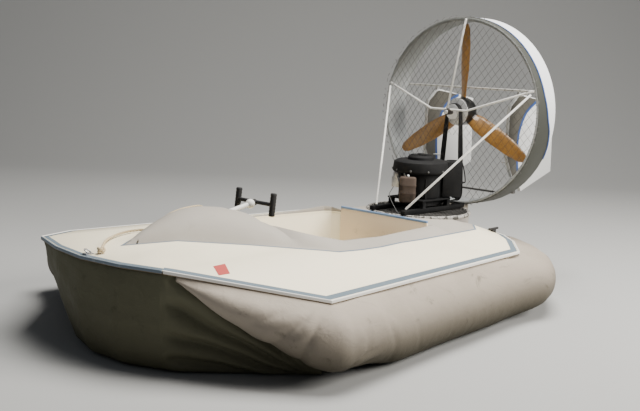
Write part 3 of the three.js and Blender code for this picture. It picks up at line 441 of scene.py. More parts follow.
def lip_paint():
    p = Paint("lip_wrap", (0.045, 0.042, 0.038), 0.8)
    p.tint(p.noise(60, 3, 0.5, (1, 1, 0.6)), 0.44, 0.54, (0.40, 0.38, 0.35), 0.85)
    p.tint(p.noise(120, 2), 0.55, 0.65, (0.10, 0.085, 0.07), 0.8)
    p.bump(p.noise(160, 3), 0.0012)
    return p.mat


rope_tan = rope_paint()
seat_vinyl = vinyl_paint()
lip_wrap_paint = lip_paint()

# Camera

CAMERA_PLACE = Vector((3.99093, 3.57842, 1.33308))
CAMERA_LOOK = Vector((-0.72266, -0.67475, -0.14993)).normalized()
CAMERA_ROLL = radians(2.286)
FOCAL_PIXELS = 996.64
FRAME_WIDTH = 640

camera_data = bpy.data.cameras.new("camera")
camera = linked(bpy.data.objects.new("camera", camera_data))
camera_data.sensor_width = 36
camera_data.lens = 36 * FOCAL_PIXELS / FRAME_WIDTH
camera_data.clip_end = 200
level_right = Vector((CAMERA_LOOK.y, -CAMERA_LOOK.x, 0)).normalized()
level_up = level_right.cross(CAMERA_LOOK)
right = level_right * cos(CAMERA_ROLL) + level_up * sin(CAMERA_ROLL)
up = right.cross(CAMERA_LOOK)
turn = Matrix((right, up, -CAMERA_LOOK)).transposed()
camera.matrix_world = Matrix.Translation(CAMERA_PLACE) @ turn.to_4x4()
bpy.context.scene.camera = camera

# Painter rope: lies over the foredeck and the cowl from the knot to its cleat

deck_top = surface_of("deck", "hull", "cowl")
KNOT = Vector((1.552 + SHIFT, 0.040, 0))
KNOT_R = 0.016
knot_low, knot_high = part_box("painter_knot")
KNOT.z = (knot_low.z + knot_high.z) / 2
ROPE_PLAN = [
    (1.500, -0.022), (1.440, -0.088), (1.376, -0.134), (1.310, -0.158), (1.262, -0.162),
    (1.210, -0.156), (1.160, -0.152), (1.098, -0.156), (1.015, -0.172), (0.940, -0.188),
    (0.868, -0.197), (0.805, -0.203), (0.766, -0.212),
]
rope_points = []
for x, y in ROPE_PLAN:
    x += SHIFT
    rope_points.append(Vector((x, y, drop(deck_top, x, y) + 1.4 * ROPE_R + 0.003)))
rope_start = KNOT + (rope_points[0] - KNOT).normalized() * (KNOT_R + 0.001)
rope_points.insert(0, rope_start)


def smooth_line(points, steps):
    """A Catmull-Rom line through points."""
    p = [points[0] * 2 - points[1], *points, points[-1] * 2 - points[-2]]
    line = []
    for i in range(1, len(p) - 2):
        for k in range(steps):
            t = k / steps
            line.append(0.5 * (
                2 * p[i] + (p[i + 1] - p[i - 1]) * t
                + (2 * p[i - 1] - 5 * p[i] + 4 * p[i + 1] - p[i + 2]) * t * t
                + (3 * p[i] - p[i - 1] - 3 * p[i + 1] + p[i + 2]) * t ** 3
            ))
    line.append(points[-1].copy())
    return line


def laid_rope(name, line, radius, material, pitch=0.05, strands=3, sides=7):
    """A rope of twisted strands round a line."""
    parts = []
    travelled = [0.0]
    for a, b in zip(line, line[1:]):
        travelled.append(travelled[-1] + (b - a).length)
    side = (line[1] - line[0]).cross(Vector((0, 0, 1))).normalized()
    frames = []
    for i in range(len(line)):
        run = (line[min(i + 1, len(line) - 1)] - line[max(i - 1, 0)]).normalized()
        side = (side - run * side.dot(run)).normalized()
        frames.append((side.copy(), run.cross(side)))
    strand_r = radius * 0.52
    for s in range(strands):
        path = []
        for i, p in enumerate(line):
            a = 2 * pi * (s / strands + travelled[i] / pitch)
            u, v = frames[i]
            path.append(p + (u * cos(a) + v * sin(a)) * (radius - strand_r))
        parts.append(tube("strand", path, strand_r, material, sides))
    return join(name, parts)


rope_line = smooth_line(rope_points, 18)
painter = laid_rope("painter_rope", rope_line, ROPE_R, rope_tan)
own(painter, "rope_tan", "painter")


# A tight overhand knot
KNOT_SIZE = 0.0145
KNOT_STEPS = 72
knot_line = []
for i in range(KNOT_STEPS):
    t = 2 * pi * i / KNOT_STEPS
    knot_line.append(KNOT + Vector((
        (sin(t) + 2 * sin(2 * t)) * KNOT_SIZE / 3,
        (cos(t) - 2 * cos(2 * t)) * KNOT_SIZE / 3,
        -sin(3 * t) * KNOT_SIZE / 2.4,
    )))
knot = tube("rope_knot", knot_line, 0.0066, rope_tan, 10, closed=True)
own(knot, "rope_tan", "painter_knot")

# CAD nodes that keep their shape: paint, welded corners and small rounded edges

BEVELS = {
    "deck": 0.0006, "cowl": 0.0006, "hull": 0.0006, "thrust_ring": 0.0006, "lift_ring": 0.0015,
    "bow_strip": 0.002, "rail_port": 0.002, "rail_starboard": 0.002, "blower_housing": 0.004,
}
OTHER_BEVEL = 0.0012
FINISH = (
    (deck_white, "hull deck"), (cowl_grey, "cowl ring_pedestal"), (strip_worn, "bow_strip"),
    (edge_white, "rail_port rail_starboard"), (runner_wood, "runner_port runner_starboard"),
    (inside_cream, "rear_bulkhead"), (trim_blue, "aft_trim"), (lift_ring_grey, "lift_ring"),
    (black_plain, "dash_panel stern_cleat lift_fan"), (muffler_rust, "muffler"),
    (engine_alloy, "column_bracket carburettor bow_eye painter_cleat"),
    (engine_black, "engine_mount crankcase cylinder_port cylinder_starboard blower_housing idlers"),
    (engine_black, "crankshaft"),
    (ring_white, "thrust_ring"), (guard_white, "guard_bar"), (wire_dark, "rudder_bar_lower"),
    (tube_white, "top_strut stay_port stay_starboard rudder_bar_upper steering_column"),
    (bright_alloy, "prop_shaft"), (prop_wood, "propeller"), (grip_black, "yoke"),
    (rudder_white, "rudder_port rudder_starboard"),
)


def finish_node(name, material):
    obj = nodes[name]
    for i in range(len(obj.data.materials)):
        obj.data.materials[i] = material
    smooth_faces(obj.data)
    obj.modifiers.new("weld", "WELD").merge_threshold = 0.00002
    bevel = obj.modifiers.new("edges", "BEVEL")
    bevel.width = BEVELS.get(name, OTHER_BEVEL)
    bevel.segments = 2
    bevel.limit_method = "ANGLE"
    bevel.angle_limit = radians(32)
    bevel.harden_normals = True
    bevel.use_clamp_overlap = True


for material, names in FINISH:
    for name in names.split():
        finish_node(name, material)

# Skirt: sheets of cloth on the bags' own shape, with folds, a pinch, stains and painted shade low down

STRIP_BELOW = 0.012
# Side bag: place along the edge, middle of the tube beside the edge and above the ground, radius
BAG_STATIONS = [
    (2.08, 0.003, 0.412, 0.006), (2.18, 0.006, 0.380, 0.020), (2.27, 0.009, 0.354, 0.037),
    (2.40, 0.012, 0.318, 0.060), (2.57, 0.015, 0.275, 0.085), (2.73, 0.017, 0.243, 0.103),
    (2.87, 0.018, 0.211, 0.121), (2.95, 0.018, 0.199, 0.127), (3.00, 0.018, 0.185, 0.130),
    (3.12, 0.000, 0.190, 0.140), (3.25, -0.015, 0.148, 0.148), (3.50, -0.020, 0.150, 0.150),
    (3.80, -0.020, 0.150, 0.150), (3.90, -0.016, 0.150, 0.145), (4.00, 0.042, 0.162, 0.130),
    (4.15, 0.092, 0.170, 0.121), (4.60, 0.116, 0.170, 0.118),
    *[(s, 0.122, 0.170, 0.118) for s in (5.00, 5.50, 6.00, 7.00, 8.00, 8.99)],
]
# The starboard bag hangs slack behind the bow: how far its middle lies further in
BAG_SLACK = [
    (2.08, 0.020), (2.18, 0.040), (2.27, 0.055), (2.40, 0.070), (2.57, 0.075), (2.73, 0.070),
    (2.87, 0.060), (2.95, 0.036), (3.00, 0.0), (8.99, 0.0),
]
BAG_ROOT = -0.014
BAG_ROUND = 72


def edge_outward(i):
    (ax, ay, _), (bx, by, _) = EDGE[i], EDGE[i + 1]
    length = hypot(bx - ax, by - ay)
    return Vector(((by - ay) / length, -(bx - ax) / length))


def edge_place(s):
    """A point on the deck edge and its outward direction in plan, a mitre at a corner."""
    i = min(len(EDGE) - 2, int(s))
    t = s - i
    at = Vector(EDGE[i]).lerp(Vector(EDGE[i + 1]), t)
    at.x += SHIFT
    here = edge_outward(i)
    if t > 1e-6:
        return at, here
    other = edge_outward(i - 1) if i else Vector((here.x, -here.y))
    mitre = here + other
    return at, mitre * (2 / mitre.length_squared)


def column(rows, s, k):
    return float(np.interp(s, [row[0] for row in rows], [row[k] for row in rows]))


def drape_reach(r, angle, distance, towards):
    """How far the cloth lies from the tube's middle: straight up to its root, else round."""
    if distance <= r:
        return r
    spread = acos(r / distance)
    off = abs(atan2(sin(angle - towards), cos(angle - towards)))
    return r / cos(spread - off) if off < spread else r


def bag_points(s, side):
    n, z, r = (column(BAG_STATIONS, s, k) for k in (1, 2, 3))
    if side < 0:
        n -= column(BAG_SLACK, s, 1)
    at, out = edge_place(s)
    top = at.z - STRIP_BELOW - 0.001
    points = []
    for i in range(BAG_ROUND):
        angle = (i + 0.5) / BAG_ROUND * 2 * pi
        reach = max(
            drape_reach(r, angle, hypot(root - n, top - z), atan2(top - z, root - n))
            for root in (0, BAG_ROOT)
        )
        off = n + reach * cos(angle)
        points.append((at.x + out.x * off, side * (at.y + out.y * off),
                       max(0.0, z + reach * sin(angle))))
    return points


def field(points, scale, seed, stretch=(1, 1, 1)):
    """Smooth noise from -1 to 1 at each point."""
    shift = Vector((seed * 7.13, seed * 3.71, seed * 5.29))
    p = points * np.array(stretch) * scale
    return np.array([noise.noise(Vector(q) + shift) for q in p])


def points_of(mesh):
    co = np.zeros(len(mesh.vertices) * 3)
    mesh.vertices.foreach_get("co", co)
    return co.reshape(-1, 3)


def unit(value):
    return np.clip(value, 0, 1)


def crease(value, width):
    """A narrow furrow, 1 along the lines where value is 0."""
    return np.exp(-(value / width) ** 2)


def ridges(phase):
    """Rounded folds with narrow valleys, from 0 to 1."""
    return np.abs(np.sin(phase))


def strip_height(along):
    heights = np.array([z for _, _, z in EDGE])
    return np.interp(along, np.arange(len(EDGE)), heights) - STRIP_BELOW - 0.001


def side_folds(co, along):
    """How far a side bag's cloth moves along its normal."""
    wander = field(co, 3.0, 1)
    small = field(co, 10.0, 2)
    tiny = field(co, 27.0, 3)
    under = unit((strip_height(along) - co[:, 2]) / 0.34)
    gap = (along - 3.0) * 0.68
    drop_down = under * 0.34
    # Straining folds from the widest corner down towards the bow
    lean = np.arctan2(-gap, drop_down + 0.05)
    front = unit(-gap / 0.10) * np.exp(-(gap / 0.34) ** 2)
    fan = (ridges(lean * 8.5 + wander * 1.0 + small * 0.25) - 0.62) * front * unit(under * 4)
    # Long soft folds that follow the bag from the bow corner
    tail = unit((along - 2.1) / 0.25) * unit((2.95 - along) / 0.25)
    long_folds = (ridges(under * 5.5 + gap * 1.2 + wander * 0.8) - 0.6) * tail
    # Upright crumples behind the corner and along the side
    behind = unit((gap + 0.02) / 0.08)
    waves = field(co, 7.0, 4, (1, 1, 0.28))
    crumple = -crease(waves, 0.07) * behind * unit(under * 3) * np.exp(-gap * 5)
    # Two pinches where the panels meet below the widest corner
    after = (along - 3.0) * 1.61
    pinch = crease(co[:, 2] - 0.075 - 0.25 * (after - 0.11), 0.011) * crease(after - 0.11, 0.07)
    pinch += 0.5 * crease(co[:, 2] - 0.142 - 0.2 * (after - 0.13), 0.010) * crease(after - 0.13, 0.04)
    seam = crease(along - 3.035 - 0.01 * wander, 0.006) * unit(under * 5)
    rough_part = wander * 0.005 + small * 0.0022 + tiny * 0.0009
    stern = unit((along - 4.0) / 0.5)
    gathers = (ridges(along * 26 + wander * 2) - 0.6) * stern * unit(1 - under * 1.6)
    return (fan * 0.014 + long_folds * 0.006 + crumple * 0.011 - pinch * 0.022 - seam * 0.005
            + gathers * 0.009 + rough_part)


def bow_folds(co, along):
    """How far the bow bag's cloth moves along its normal."""
    wander = field(co, 2.4, 5)
    small = field(co, 9.0, 6)
    tiny = field(co, 25.0, 7)
    top = strip_height(along)
    under = unit((top - co[:, 2]) / 0.42)
    # Stacked folds that start below the bow corner and run together where the side bag lands
    run = np.clip(2.97 - along, 0.02, 2) * 0.68
    lean = np.arctan2(co[:, 2] + 0.03, run)
    swept = unit((along - 1.98) / 0.12) * np.clip((2.97 - along) / 0.3, 0.25, 1)
    stack = (ridges(lean * 19 + wander * 1.1 + small * 0.35) - 0.62) * swept * unit(under * 5)
    # Upright seams of the panels and shallow billows over the front
    seams = crease(along - 2.0, 0.012) + crease(along - 1.0, 0.010) + crease(along, 0.010)
    billow = wander * 0.006 + small * 0.003 + tiny * 0.0009
    return billow + stack * 0.036 - seams * 0.004 * unit(under * 4)


def settle(mesh, along, folds, hold_top):
    """Moves the cloth by its folds, none at the strip and the ground, and rests it on the floor."""
    co = points_of(mesh)
    normal = np.array([v.normal for v in mesh.vertices])
    outward = unit(np.hypot(normal[:, 0], normal[:, 1]) * 1.5)
    top = strip_height(along)
    free = unit((top - co[:, 2]) / 0.03) * unit(co[:, 2] / 0.025)
    co = co + normal * (folds(co, along) * outward * free)[:, None]
    if hold_top:
        flat = (normal[:, 2] > 0.6) & (co[:, 2] > top - 0.035)
        co[flat, 2] = top[flat] - 0.0004
    co[:, 2] = np.maximum(co[:, 2], 0.0006)
    mesh.vertices.foreach_set("co", co.ravel())
    mesh.update()
    smooth_faces(mesh)


def side_bag(word, side):
    first, last = BAG_STATIONS[0][0], BAG_STATIONS[-1][0]
    places = []
    for low, high, step in ((first, 2.6, 0.012), (2.6, 4.2, 0.010), (4.2, last, 0.022)):
        places += list(np.arange(low, high - step / 2, step))
    places.append(last)
    stations = np.array([row[0] for row in BAG_STATIONS])
    rings = np.array([bag_points(float(s), side) for s in stations])
    rows = np.empty((len(places), BAG_ROUND, 3))
    for k in range(BAG_ROUND):
        for axis in range(3):
            rows[:, k, axis] = np.interp(places, stations, rings[:, k, axis])
    # Eases the bends between stations, except where the strip holds the cloth
    held = unit((strip_height(np.array(places))[:, None] - rows[:, :, 2]) / 0.10)[..., None]
    for _ in range(14):
        eased = rows.copy()
        eased[1:-1] = (rows[:-2] + rows[2:]) / 2
        rows = rows + (eased - rows) * 0.5 * held
    verts = [tuple(p) for p in rows.reshape(-1, 3)]
    along = [s for s in places for _ in range(BAG_ROUND)]
    faces = grid_faces(len(places), BAG_ROUND, True) + end_caps(len(places), BAG_ROUND)
    obj = mesh_object(f"skirt_{word}_cloth", verts, [face[::side] for face in faces], skirt_cloth)
    # The rings run the other way round, so the faces look inward as they are made
    obj.data.flip_normals()
    settle(obj.data, np.array(along), side_folds, False)
    return own(obj, "skirt_fabric", f"skirt_{word}")


def place_along(points):
    """The nearest place along the deck edge, for an array of points."""
    ring = [np.array((x + SHIFT, y)) for x, y, _ in EDGE]
    near = np.full(len(points), 1e9)
    along = np.zeros(len(points))
    p = points[:, :2].copy()
    p[:, 1] = np.abs(p[:, 1])
    for k, (a, b) in enumerate(zip(ring, ring[1:])):
        d = b - a
        t = unit(((p - a) @ d) / (d @ d))
        size = np.hypot(*(p - (a + t[:, None] * d)).T)
        along = np.where(size < near, k + t, along)
        near = np.minimum(near, size)
    return along


def bow_bag():
    obj = copy_of("skirt_bow", "skirt_bow_cloth", bow_cloth)
    even_out(obj, 0.010, 10)
    settle(obj.data, place_along(points_of(obj.data)), bow_folds, True)
    own(obj, "skirt_fabric", "skirt_bow")


for word, side in SIDES:
    side_bag(word, side)
bow_bag()

# A thin brown bead under the edge strip, which also stands in as painted shadow under the strip

SHADOW_BEAD_OUT = 0.0055
shadow_bead_line = []
for s in (*range(9), BAG_STATIONS[-1][0]):
    at, out = edge_place(s)
    shadow_bead_line.append(Vector((at.x + out.x * SHADOW_BEAD_OUT, at.y + out.y * SHADOW_BEAD_OUT, at.z - STRIP_BELOW - 0.0016)))
mirror_line = [Vector((p.x, -p.y, p.z)) for p in shadow_bead_line[:0:-1]]
own(tube("strip_shadow_bead", [*mirror_line, *shadow_bead_line], 0.0015, runner_wood, 5), "edge_white")

# Painted stripe inside the rail and the thin line round the cowl

plain_deck = surface_of("deck", "hull")


def plan_normals(points):
    """Normals in plan, to the left of the run, mitred at each corner."""
    runs = [(b - a).normalized() for a, b in zip(points, points[1:])]
    out = []
    for u, v in zip([runs[0], *runs], [*runs, runs[-1]]):
        left = Vector((-u.y, u.x))
        n = (left + Vector((-v.y, v.x))).normalized()
        out.append(n / max(0.3, n.dot(left)))
    return out


def finer(points, step):
    made = []
    for a, b in zip(points, points[1:]):
        parts = max(1, int((b - a).length / step))
        made += [a.lerp(b, k / parts) for k in range(parts)]
    made.append(points[-1].copy())
    return made


def painted_strip(name, plan, near, far, tree, material, lift=0.0007, cross=4):
    """A strip of paint between two offsets to the left of a line in plan."""
    points = finer([Vector(p) for p in plan], 0.02)
    verts = []
    last = 0.4
    for p, n in zip(points, plan_normals(points)):
        for k in range(cross + 1):
            q = p + n * (near + (far - near) * k / cross)
            z = drop(tree, q.x, q.y)
            last = z if z is not None else last
            verts.append((q.x, q.y, last + lift))
    strip = mesh_object(name, verts, grid_faces(len(points), cross + 1), material)
    return face_towards(strip, (0, 0, 1))


def both_sides(rows):
    """The port half, then the starboard half, as one line round the bow."""
    port = [(x + SHIFT, y) for x, y, *_ in rows]
    return [*[(x, -y) for x, y in port[::-1]], *port[1:]]


rail_rows = [row for row in EDGE if row[0] < 1.55]
for word, side in SIDES:
    line = [(x + SHIFT, side * y) for x, y, _ in rail_rows][::side]
    own(painted_strip(f"rail_stripe_{word}", line, 0.004, 0.040, plain_deck, stripe_blue), "trim_blue")
bow_rows = [row for row in EDGE if row[0] > 1.5]
own(painted_strip("bow_stripe", both_sides(bow_rows), 0.004, 0.024, plain_deck, stripe_blue), "trim_blue")
# Positive offsets lie on the cowl's side of the border
border_line = both_sides(BORDER)
own(painted_strip("cowl_line", border_line, -0.013, -0.001, deck_top, cowl_line_blue, 0.0008, 2),
    "trim_blue")
own(painted_strip("cowl_apron", border_line, -0.002, 0.052, deck_top, cowl_grey, 0.0006, 6), "cowl_grey")

# Blank sticker on the port foredeck

STICKER = [(1.294, 0.4755), (1.221, 0.4675), (1.282, 0.569), (1.344, 0.570)]
STICKER_PARTS = 6
verts = []
corners = [Vector((x + SHIFT, y)) for x, y in STICKER]
for i in range(STICKER_PARTS + 1):
    for k in range(STICKER_PARTS + 1):
        near_side = corners[0].lerp(corners[1], k / STICKER_PARTS)
        far_side = corners[3].lerp(corners[2], k / STICKER_PARTS)
        q = near_side.lerp(far_side, i / STICKER_PARTS)
        verts.append((q.x, q.y, drop(plain_deck, q.x, q.y) + 0.0009))
decal = mesh_object("blank_sticker", verts, grid_faces(STICKER_PARTS + 1, STICKER_PARTS + 1), decal_red)
own(face_towards(decal, (0, 0, 1)), "trim_blue")

# Ring: paler skin aft of its pinstripe, on the outside

# Angle up from the port side and the pinstripe's place along the craft
RING_LINE = [
    (90, -1.100), (70, -1.104), (49, -1.107), (37, -1.108), (22, -1.113), (13, -1.121),
    (-1, -1.153), (-8, -1.186), (-18, -1.214), (-30, -1.226),
]
SKIN_LOW, SKIN_HIGH = -26, 206


def ring_place(angle, x, r):
    a = radians(angle)
    return Vector((x, cos(a) * r, DUCT_Z + sin(a) * r))


def ring_edge(angle):
    """How far aft the pinstripe runs at this angle, the same to both sides."""
    a = ((angle + 90) % 360) - 90
    a = 180 - a if a > 90 else a
    return column(sorted(RING_LINE), a, 1) + SHIFT


def ring_skin(name, x_from, x_to, material, lift):
    """A band on the ring's outside between two edges that vary with the angle."""
    verts = []
    steps, cross = 96, 6
    for i in range(steps + 1):
        angle = SKIN_LOW + (SKIN_HIGH - SKIN_LOW) * i / steps
        for k in range(cross + 1):
            x = x_from(angle) + (x_to(angle) - x_from(angle)) * k / cross
            verts.append(ring_place(angle, x, DUCT_R + lift))
    obj = mesh_object(name, verts, grid_faces(steps + 1, cross + 1), material)
    centre = obj.data.polygons[0].center
    return face_towards(obj, centre - Vector((centre.x, 0, DUCT_Z)))


SKIN_REAR = DUCT_X - DUCT_DEPTH + 0.002
LINE_HALF = 0.0065
own(ring_skin("ring_skin", ring_edge, lambda a: SKIN_REAR, ring_pale, 0.0012), "ring_white")
own(ring_skin("ring_line", lambda a: ring_edge(a) + LINE_HALF, lambda a: ring_edge(a) - LINE_HALF,
              line_blue, 0.0020), "trim_blue")

# Rudders: dark grey nose, partly painted shade, ahead of a blue arc on both faces

RUDDER_ARC = [
    (-1.470, 1.104), (-1.420, 1.090), (-1.370, 1.064), (-1.326, 1.034), (-1.290, 0.985),
    (-1.268, 0.940), (-1.254, 0.896), (-1.250, 0.840), (-1.254, 0.780), (-1.262, 0.715), (-1.274, 0.652),
]
RUDDER_NOSE = [
    (-1.274, 0.645), (-1.214, 0.645), (-1.146, 0.762), (-1.146, 1.035), (-1.155, 1.069),
    (-1.230, 1.128), (-1.262, 1.133), (-1.466, 1.107),
]


for word, side in SIDES:
    parts = []
    arc = [Vector((x + SHIFT, 0, z)) for x, z in RUDDER_ARC]
    for face in (1, -1):
        y = side * RUDDER_Y + face * 0.0107
        outline = [(x + SHIFT, y, z) for x, z in RUDDER_ARC + RUDDER_NOSE]
        patch = mesh_object("patch", outline, [list(range(len(outline)))], rudder_grey, smooth=False)
        parts.append(face_towards(patch, (0, face, 0)))
        verts = []
        for i, p in enumerate(arc):
            run = (arc[min(i + 1, len(arc) - 1)] - arc[max(i - 1, 0)]).normalized()
            across = Vector((run.z, 0, -run.x)) * 0.0100
            verts += [(q.x, y + face * 0.0006, q.z) for q in (p + across, p - across)]
        band = mesh_object("band", verts, grid_faces(len(arc), 2), line_blue, smooth=False)
        parts.append(face_towards(band, (0, face, 0)))
    own(join(f"rudder_{word}_paint", parts), "rudder_white", body=f"{word}_rudder")

# Guard net: wire diamonds stretched from the front rim over the guard bar

NET_BEHIND = 0.018
NET_STEP = 0.037
NET_R = DUCT_R - 0.008
KNEE_R = 0.130
RIM_X = -1.036 + SHIFT
KNEE_X = -0.958 + SHIFT
BELT_GAP = 0.112
HUB_GAP = 0.045
WIRE_R = 0.0010


def net_x(y, z):
    """The net's place along the craft: a shallow dish from the rim to the guard bar's middle."""
    r = hypot(y, z)
    out = min(1.0, max(0.0, (r - KNEE_R) / (NET_R - KNEE_R)))
    return KNEE_X + (RIM_X - KNEE_X) * out ** 0.9 - NET_BEHIND * (1 - out)


def in_net(y, z):
    """True between the hub and the rim, apart from the way of the belt."""
    if not HUB_GAP <= hypot(y, z) <= NET_R:
        return False
    return not (abs(y) < BELT_GAP and z < -0.15)


net_parts = []
for lean in (1, -1):
    for k in range(-30, 31):
        run = []
        for step in range(-40, 41):
            a, b = step * 0.03, k * NET_STEP
            wob = 0.003 * noise.noise(Vector((step * 0.31, k * 1.7, lean * 3.0)))
            y = (a * 0.62 + b * 0.78) * lean + wob
            z = a * 0.78 - b * 0.62 + wob
            if in_net(y, z):
                run.append((net_x(y, z) + 0.0012 * lean, y, DUCT_Z + z))
            else:
                if len(run) > 2:
                    net_parts.append(tube("wire", run, WIRE_R, wire_dark, 4))
                run = []
own(join("guard_net", net_parts), "fitting_alloy")

# Wire ends bent round the front rim

TIES = 88
ties = []
for k in range(TIES):
    a = 2 * pi * k / TIES + 0.02 * sin(k * 5.1)
    reach = 0.004 + 0.009 * abs(sin(k * 2.7))
    twist = 0.035 * sin(k * 3.9)
    base = ring_place(degrees(a), RIM_X + 0.013, DUCT_R - 0.006)
    over = ring_place(degrees(a), RIM_X + 0.002, DUCT_R + 0.003)
    tip = ring_place(degrees(a + twist), RIM_X - 0.010 + 0.008 * sin(k), DUCT_R + reach)
    bend = base.lerp(over, 0.5) + Vector((0.004, 0, 0))
    ties.append(tube("tie", [base, bend, over, tip], 0.0016, wire_dark, 4))
own(join("rim_ties", ties), "fitting_alloy")

# Lift ring: netting and tape bound round its lip, wire grid across its mouth
LIP_PROFILE = [
    (0.3008, 0.4270), (0.3075, 0.4300), (0.3105, 0.4360), (0.3100, 0.4420), (0.3068, 0.4478),
    (0.3010, 0.4500), (0.2930, 0.4501), (0.2885, 0.4480), (0.2872, 0.4420), (0.2872, 0.4330),
]
LIP_STEPS = 288
SWOLLEN_FROM = 0.3005
verts = []
for i, (c, s) in enumerate(circle(LIP_STEPS)):
    for r, z in LIP_PROFILE:
        swell = 0.0016 * noise.noise(Vector((c * 14, s * 14, z * 60)))
        swell += 0.0012 * sin(i * 2 * pi / 6 + z * 260)
        grow = swell if r > SWOLLEN_FROM else 0.0
        verts.append((LIFT_X + c * (r + grow), s * (r + grow), z))
quads = grid_faces(LIP_STEPS, len(LIP_PROFILE), closed=True)
wrap = mesh_object("lip_wrap", verts, [[a, d, c, b] for a, b, c, d in quads], lip_wrap_paint)
own(wrap, "rope_tan")

MOUTH_STEP = 0.030
SHAFT_ROOM = 0.045
grid = []
for k in range(-9, 10):
    off = k * MOUTH_STEP
    half = sqrt(0.286 ** 2 - off ** 2)
    runs = [(-half, half)]
    if abs(off) < SHAFT_ROOM:
        runs = [(-half, -SHAFT_ROOM), (SHAFT_ROOM, half)]
    for low, high in runs:
        across = [(LIFT_X + off, low, 0.4440), (LIFT_X + off, high, 0.4440)]
        length = [(LIFT_X + low, off, 0.4462), (LIFT_X + high, off, 0.4462)]
        for ends in (across, length):
            grid.append(tube("bar", ends, 0.0012, wire_dark, 4))
own(join("lift_net", grid), "fitting_alloy")

# Flat drive belt with a quarter twist on each straight run

CRANK_Z = 0.489
BELT_AT_CRANK = 0.080
BELT_AT_PROP = 0.048
BELT_AT_IDLER = 0.045
IDLER_X = PULLEY_X + BELT_AT_IDLER
IDLER_Z = CRANK_Z + BELT_AT_IDLER
BELT_HALF = 0.0147
BELT_THICK = 0.0055


def belt_half():
    """Places on the starboard-to-port half: point, and the direction of the belt's width."""
    quarter = [i / 8 * pi / 2 for i in range(9)]
    up, across, aft = Vector((0, 0, 1)), Vector((0, 1, 0)), Vector((-1, 0, 0))
    crank = [
        Vector((LIFT_X + BELT_AT_CRANK * cos(a), BELT_AT_CRANK * sin(a), CRANK_Z))
        for a in quarter
    ]
    idler = [
        Vector((IDLER_X - BELT_AT_IDLER * sin(a), BELT_AT_CRANK, IDLER_Z - BELT_AT_IDLER * cos(a)))
        for a in quarter
    ]
    top = [
        Vector((PULLEY_X, BELT_AT_PROP * cos(a), DUCT_Z + BELT_AT_PROP * sin(a)))
        for a in quarter
    ]

    def twisted(start, end, count, first, last):
        turns = [(k / count, k / count * pi / 2) for k in range(1, count)]
        return [(start.lerp(end, t), first * cos(a) + last * sin(a)) for t, a in turns]

    return [
        *[(p, up) for p in crank], *twisted(crank[-1], idler[0], 12, up, across),
        *[(p, across) for p in idler], *twisted(idler[-1], top[0], 20, across, aft),
        *[(p, aft) for p in top],
    ]


half_rows = belt_half()
belt_rows = half_rows + [(Vector((p.x, -p.y, p.z)), w) for p, w in half_rows[-2:0:-1]]
verts, faces = [], []
count = len(belt_rows)
wide = []
for _, w in belt_rows:
    wide.append(-w if wide and w.dot(wide[-1]) < 0 else w)
for i, (p, _) in enumerate(belt_rows):
    run = (belt_rows[(i + 1) % count][0] - belt_rows[i - 1][0]).normalized()
    w = (wide[i] - run * wide[i].dot(run)).normalized()
    t = run.cross(w)
    for a, b in ((-1, -1), (1, -1), (1, 1), (-1, 1)):
        verts.append(p + w * (a * BELT_HALF) + t * (b * BELT_THICK / 2))
# Where the width has turned over by the last row, the first row is met half a turn round
flip = wide[0].dot(wide[-1]) < 0
for i in range(count):
    j = (i + 1) % count
    half_turn = 2 if flip and j == 0 else 0
    for k in range(4):
        m = (k + 1) % 4
        faces.append([i * 4 + k, i * 4 + m, j * 4 + (m + half_turn) % 4, j * 4 + (k + half_turn) % 4])
own(mesh_object("flat_belt", verts, faces, rubber, smooth=False), "belt_rubber", "drive_belt")

# Seat: cushion and back swollen as filled covers, with sewn channels


PAD_GAP = 0.009
PAD_PRESSURE = 3.0
PAD_MOST = 0.010
PAD_FRAMES = 16


def swell(obj):
    """Fills the cover with air for a few frames."""
    cover = obj.modifiers.new("cloth", "CLOTH")
    cover.settings.use_pressure = True
    cover.settings.uniform_pressure_force = PAD_PRESSURE
    cover.settings.effector_weights.gravity = 0
    cover.settings.quality = 4
    cover.point_cache.frame_start = 1
    cover.point_cache.frame_end = PAD_FRAMES
    for f in range(1, PAD_FRAMES + 1):
        bpy.context.scene.frame_set(f)
    bake_modifiers(obj)


def padded(name, node, channels):
    obj = copy_of(node, name, seat_vinyl)
    low, high = [Vector(v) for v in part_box(node)]
    middle = (low + high) / 2
    for v in obj.data.vertices:
        for k in range(3):
            half = (high[k] - low[k]) / 2
            v.co[k] = middle[k] + (v.co[k] - middle[k]) * (half - PAD_GAP) / half
    even_out(obj, 0.007, 4)
    start = [v.co.copy() for v in obj.data.vertices]
    swell(obj)
    for v, was in zip(obj.data.vertices, start):
        off = v.co - was
        if off.length > PAD_MOST:
            off *= PAD_MOST / off.length
        v.co = was + off
        for k in range(3):
            v.co[k] = min(high[k] - 0.0006, max(low[k] + 0.0006, v.co[k]))
    for v in obj.data.vertices:
        depth = sum(exp(-((v.co.y - c) / 0.008) ** 2) for c in channels)
        v.co -= v.normal * (0.007 * depth + 0.0012 * noise.noise(v.co * 26))
    smooth_faces(obj.data)
    bpy.context.scene.frame_set(1)
    obj.modifiers.new("fine", "SUBSURF").levels = 1
    own(obj, "seat_vinyl", node)


seat_low, seat_high = [Vector(v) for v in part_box("seat_cushion")]
channel = (seat_high.y - seat_low.y) / 4
padded("seat_pad", "seat_cushion", [-channel, 0.0, channel])
padded("back_pad", "seat_back", [-channel, 0.0, channel])

# Engine fittings: screen and bolts on the housing, plug leads, a cable and small bright parts


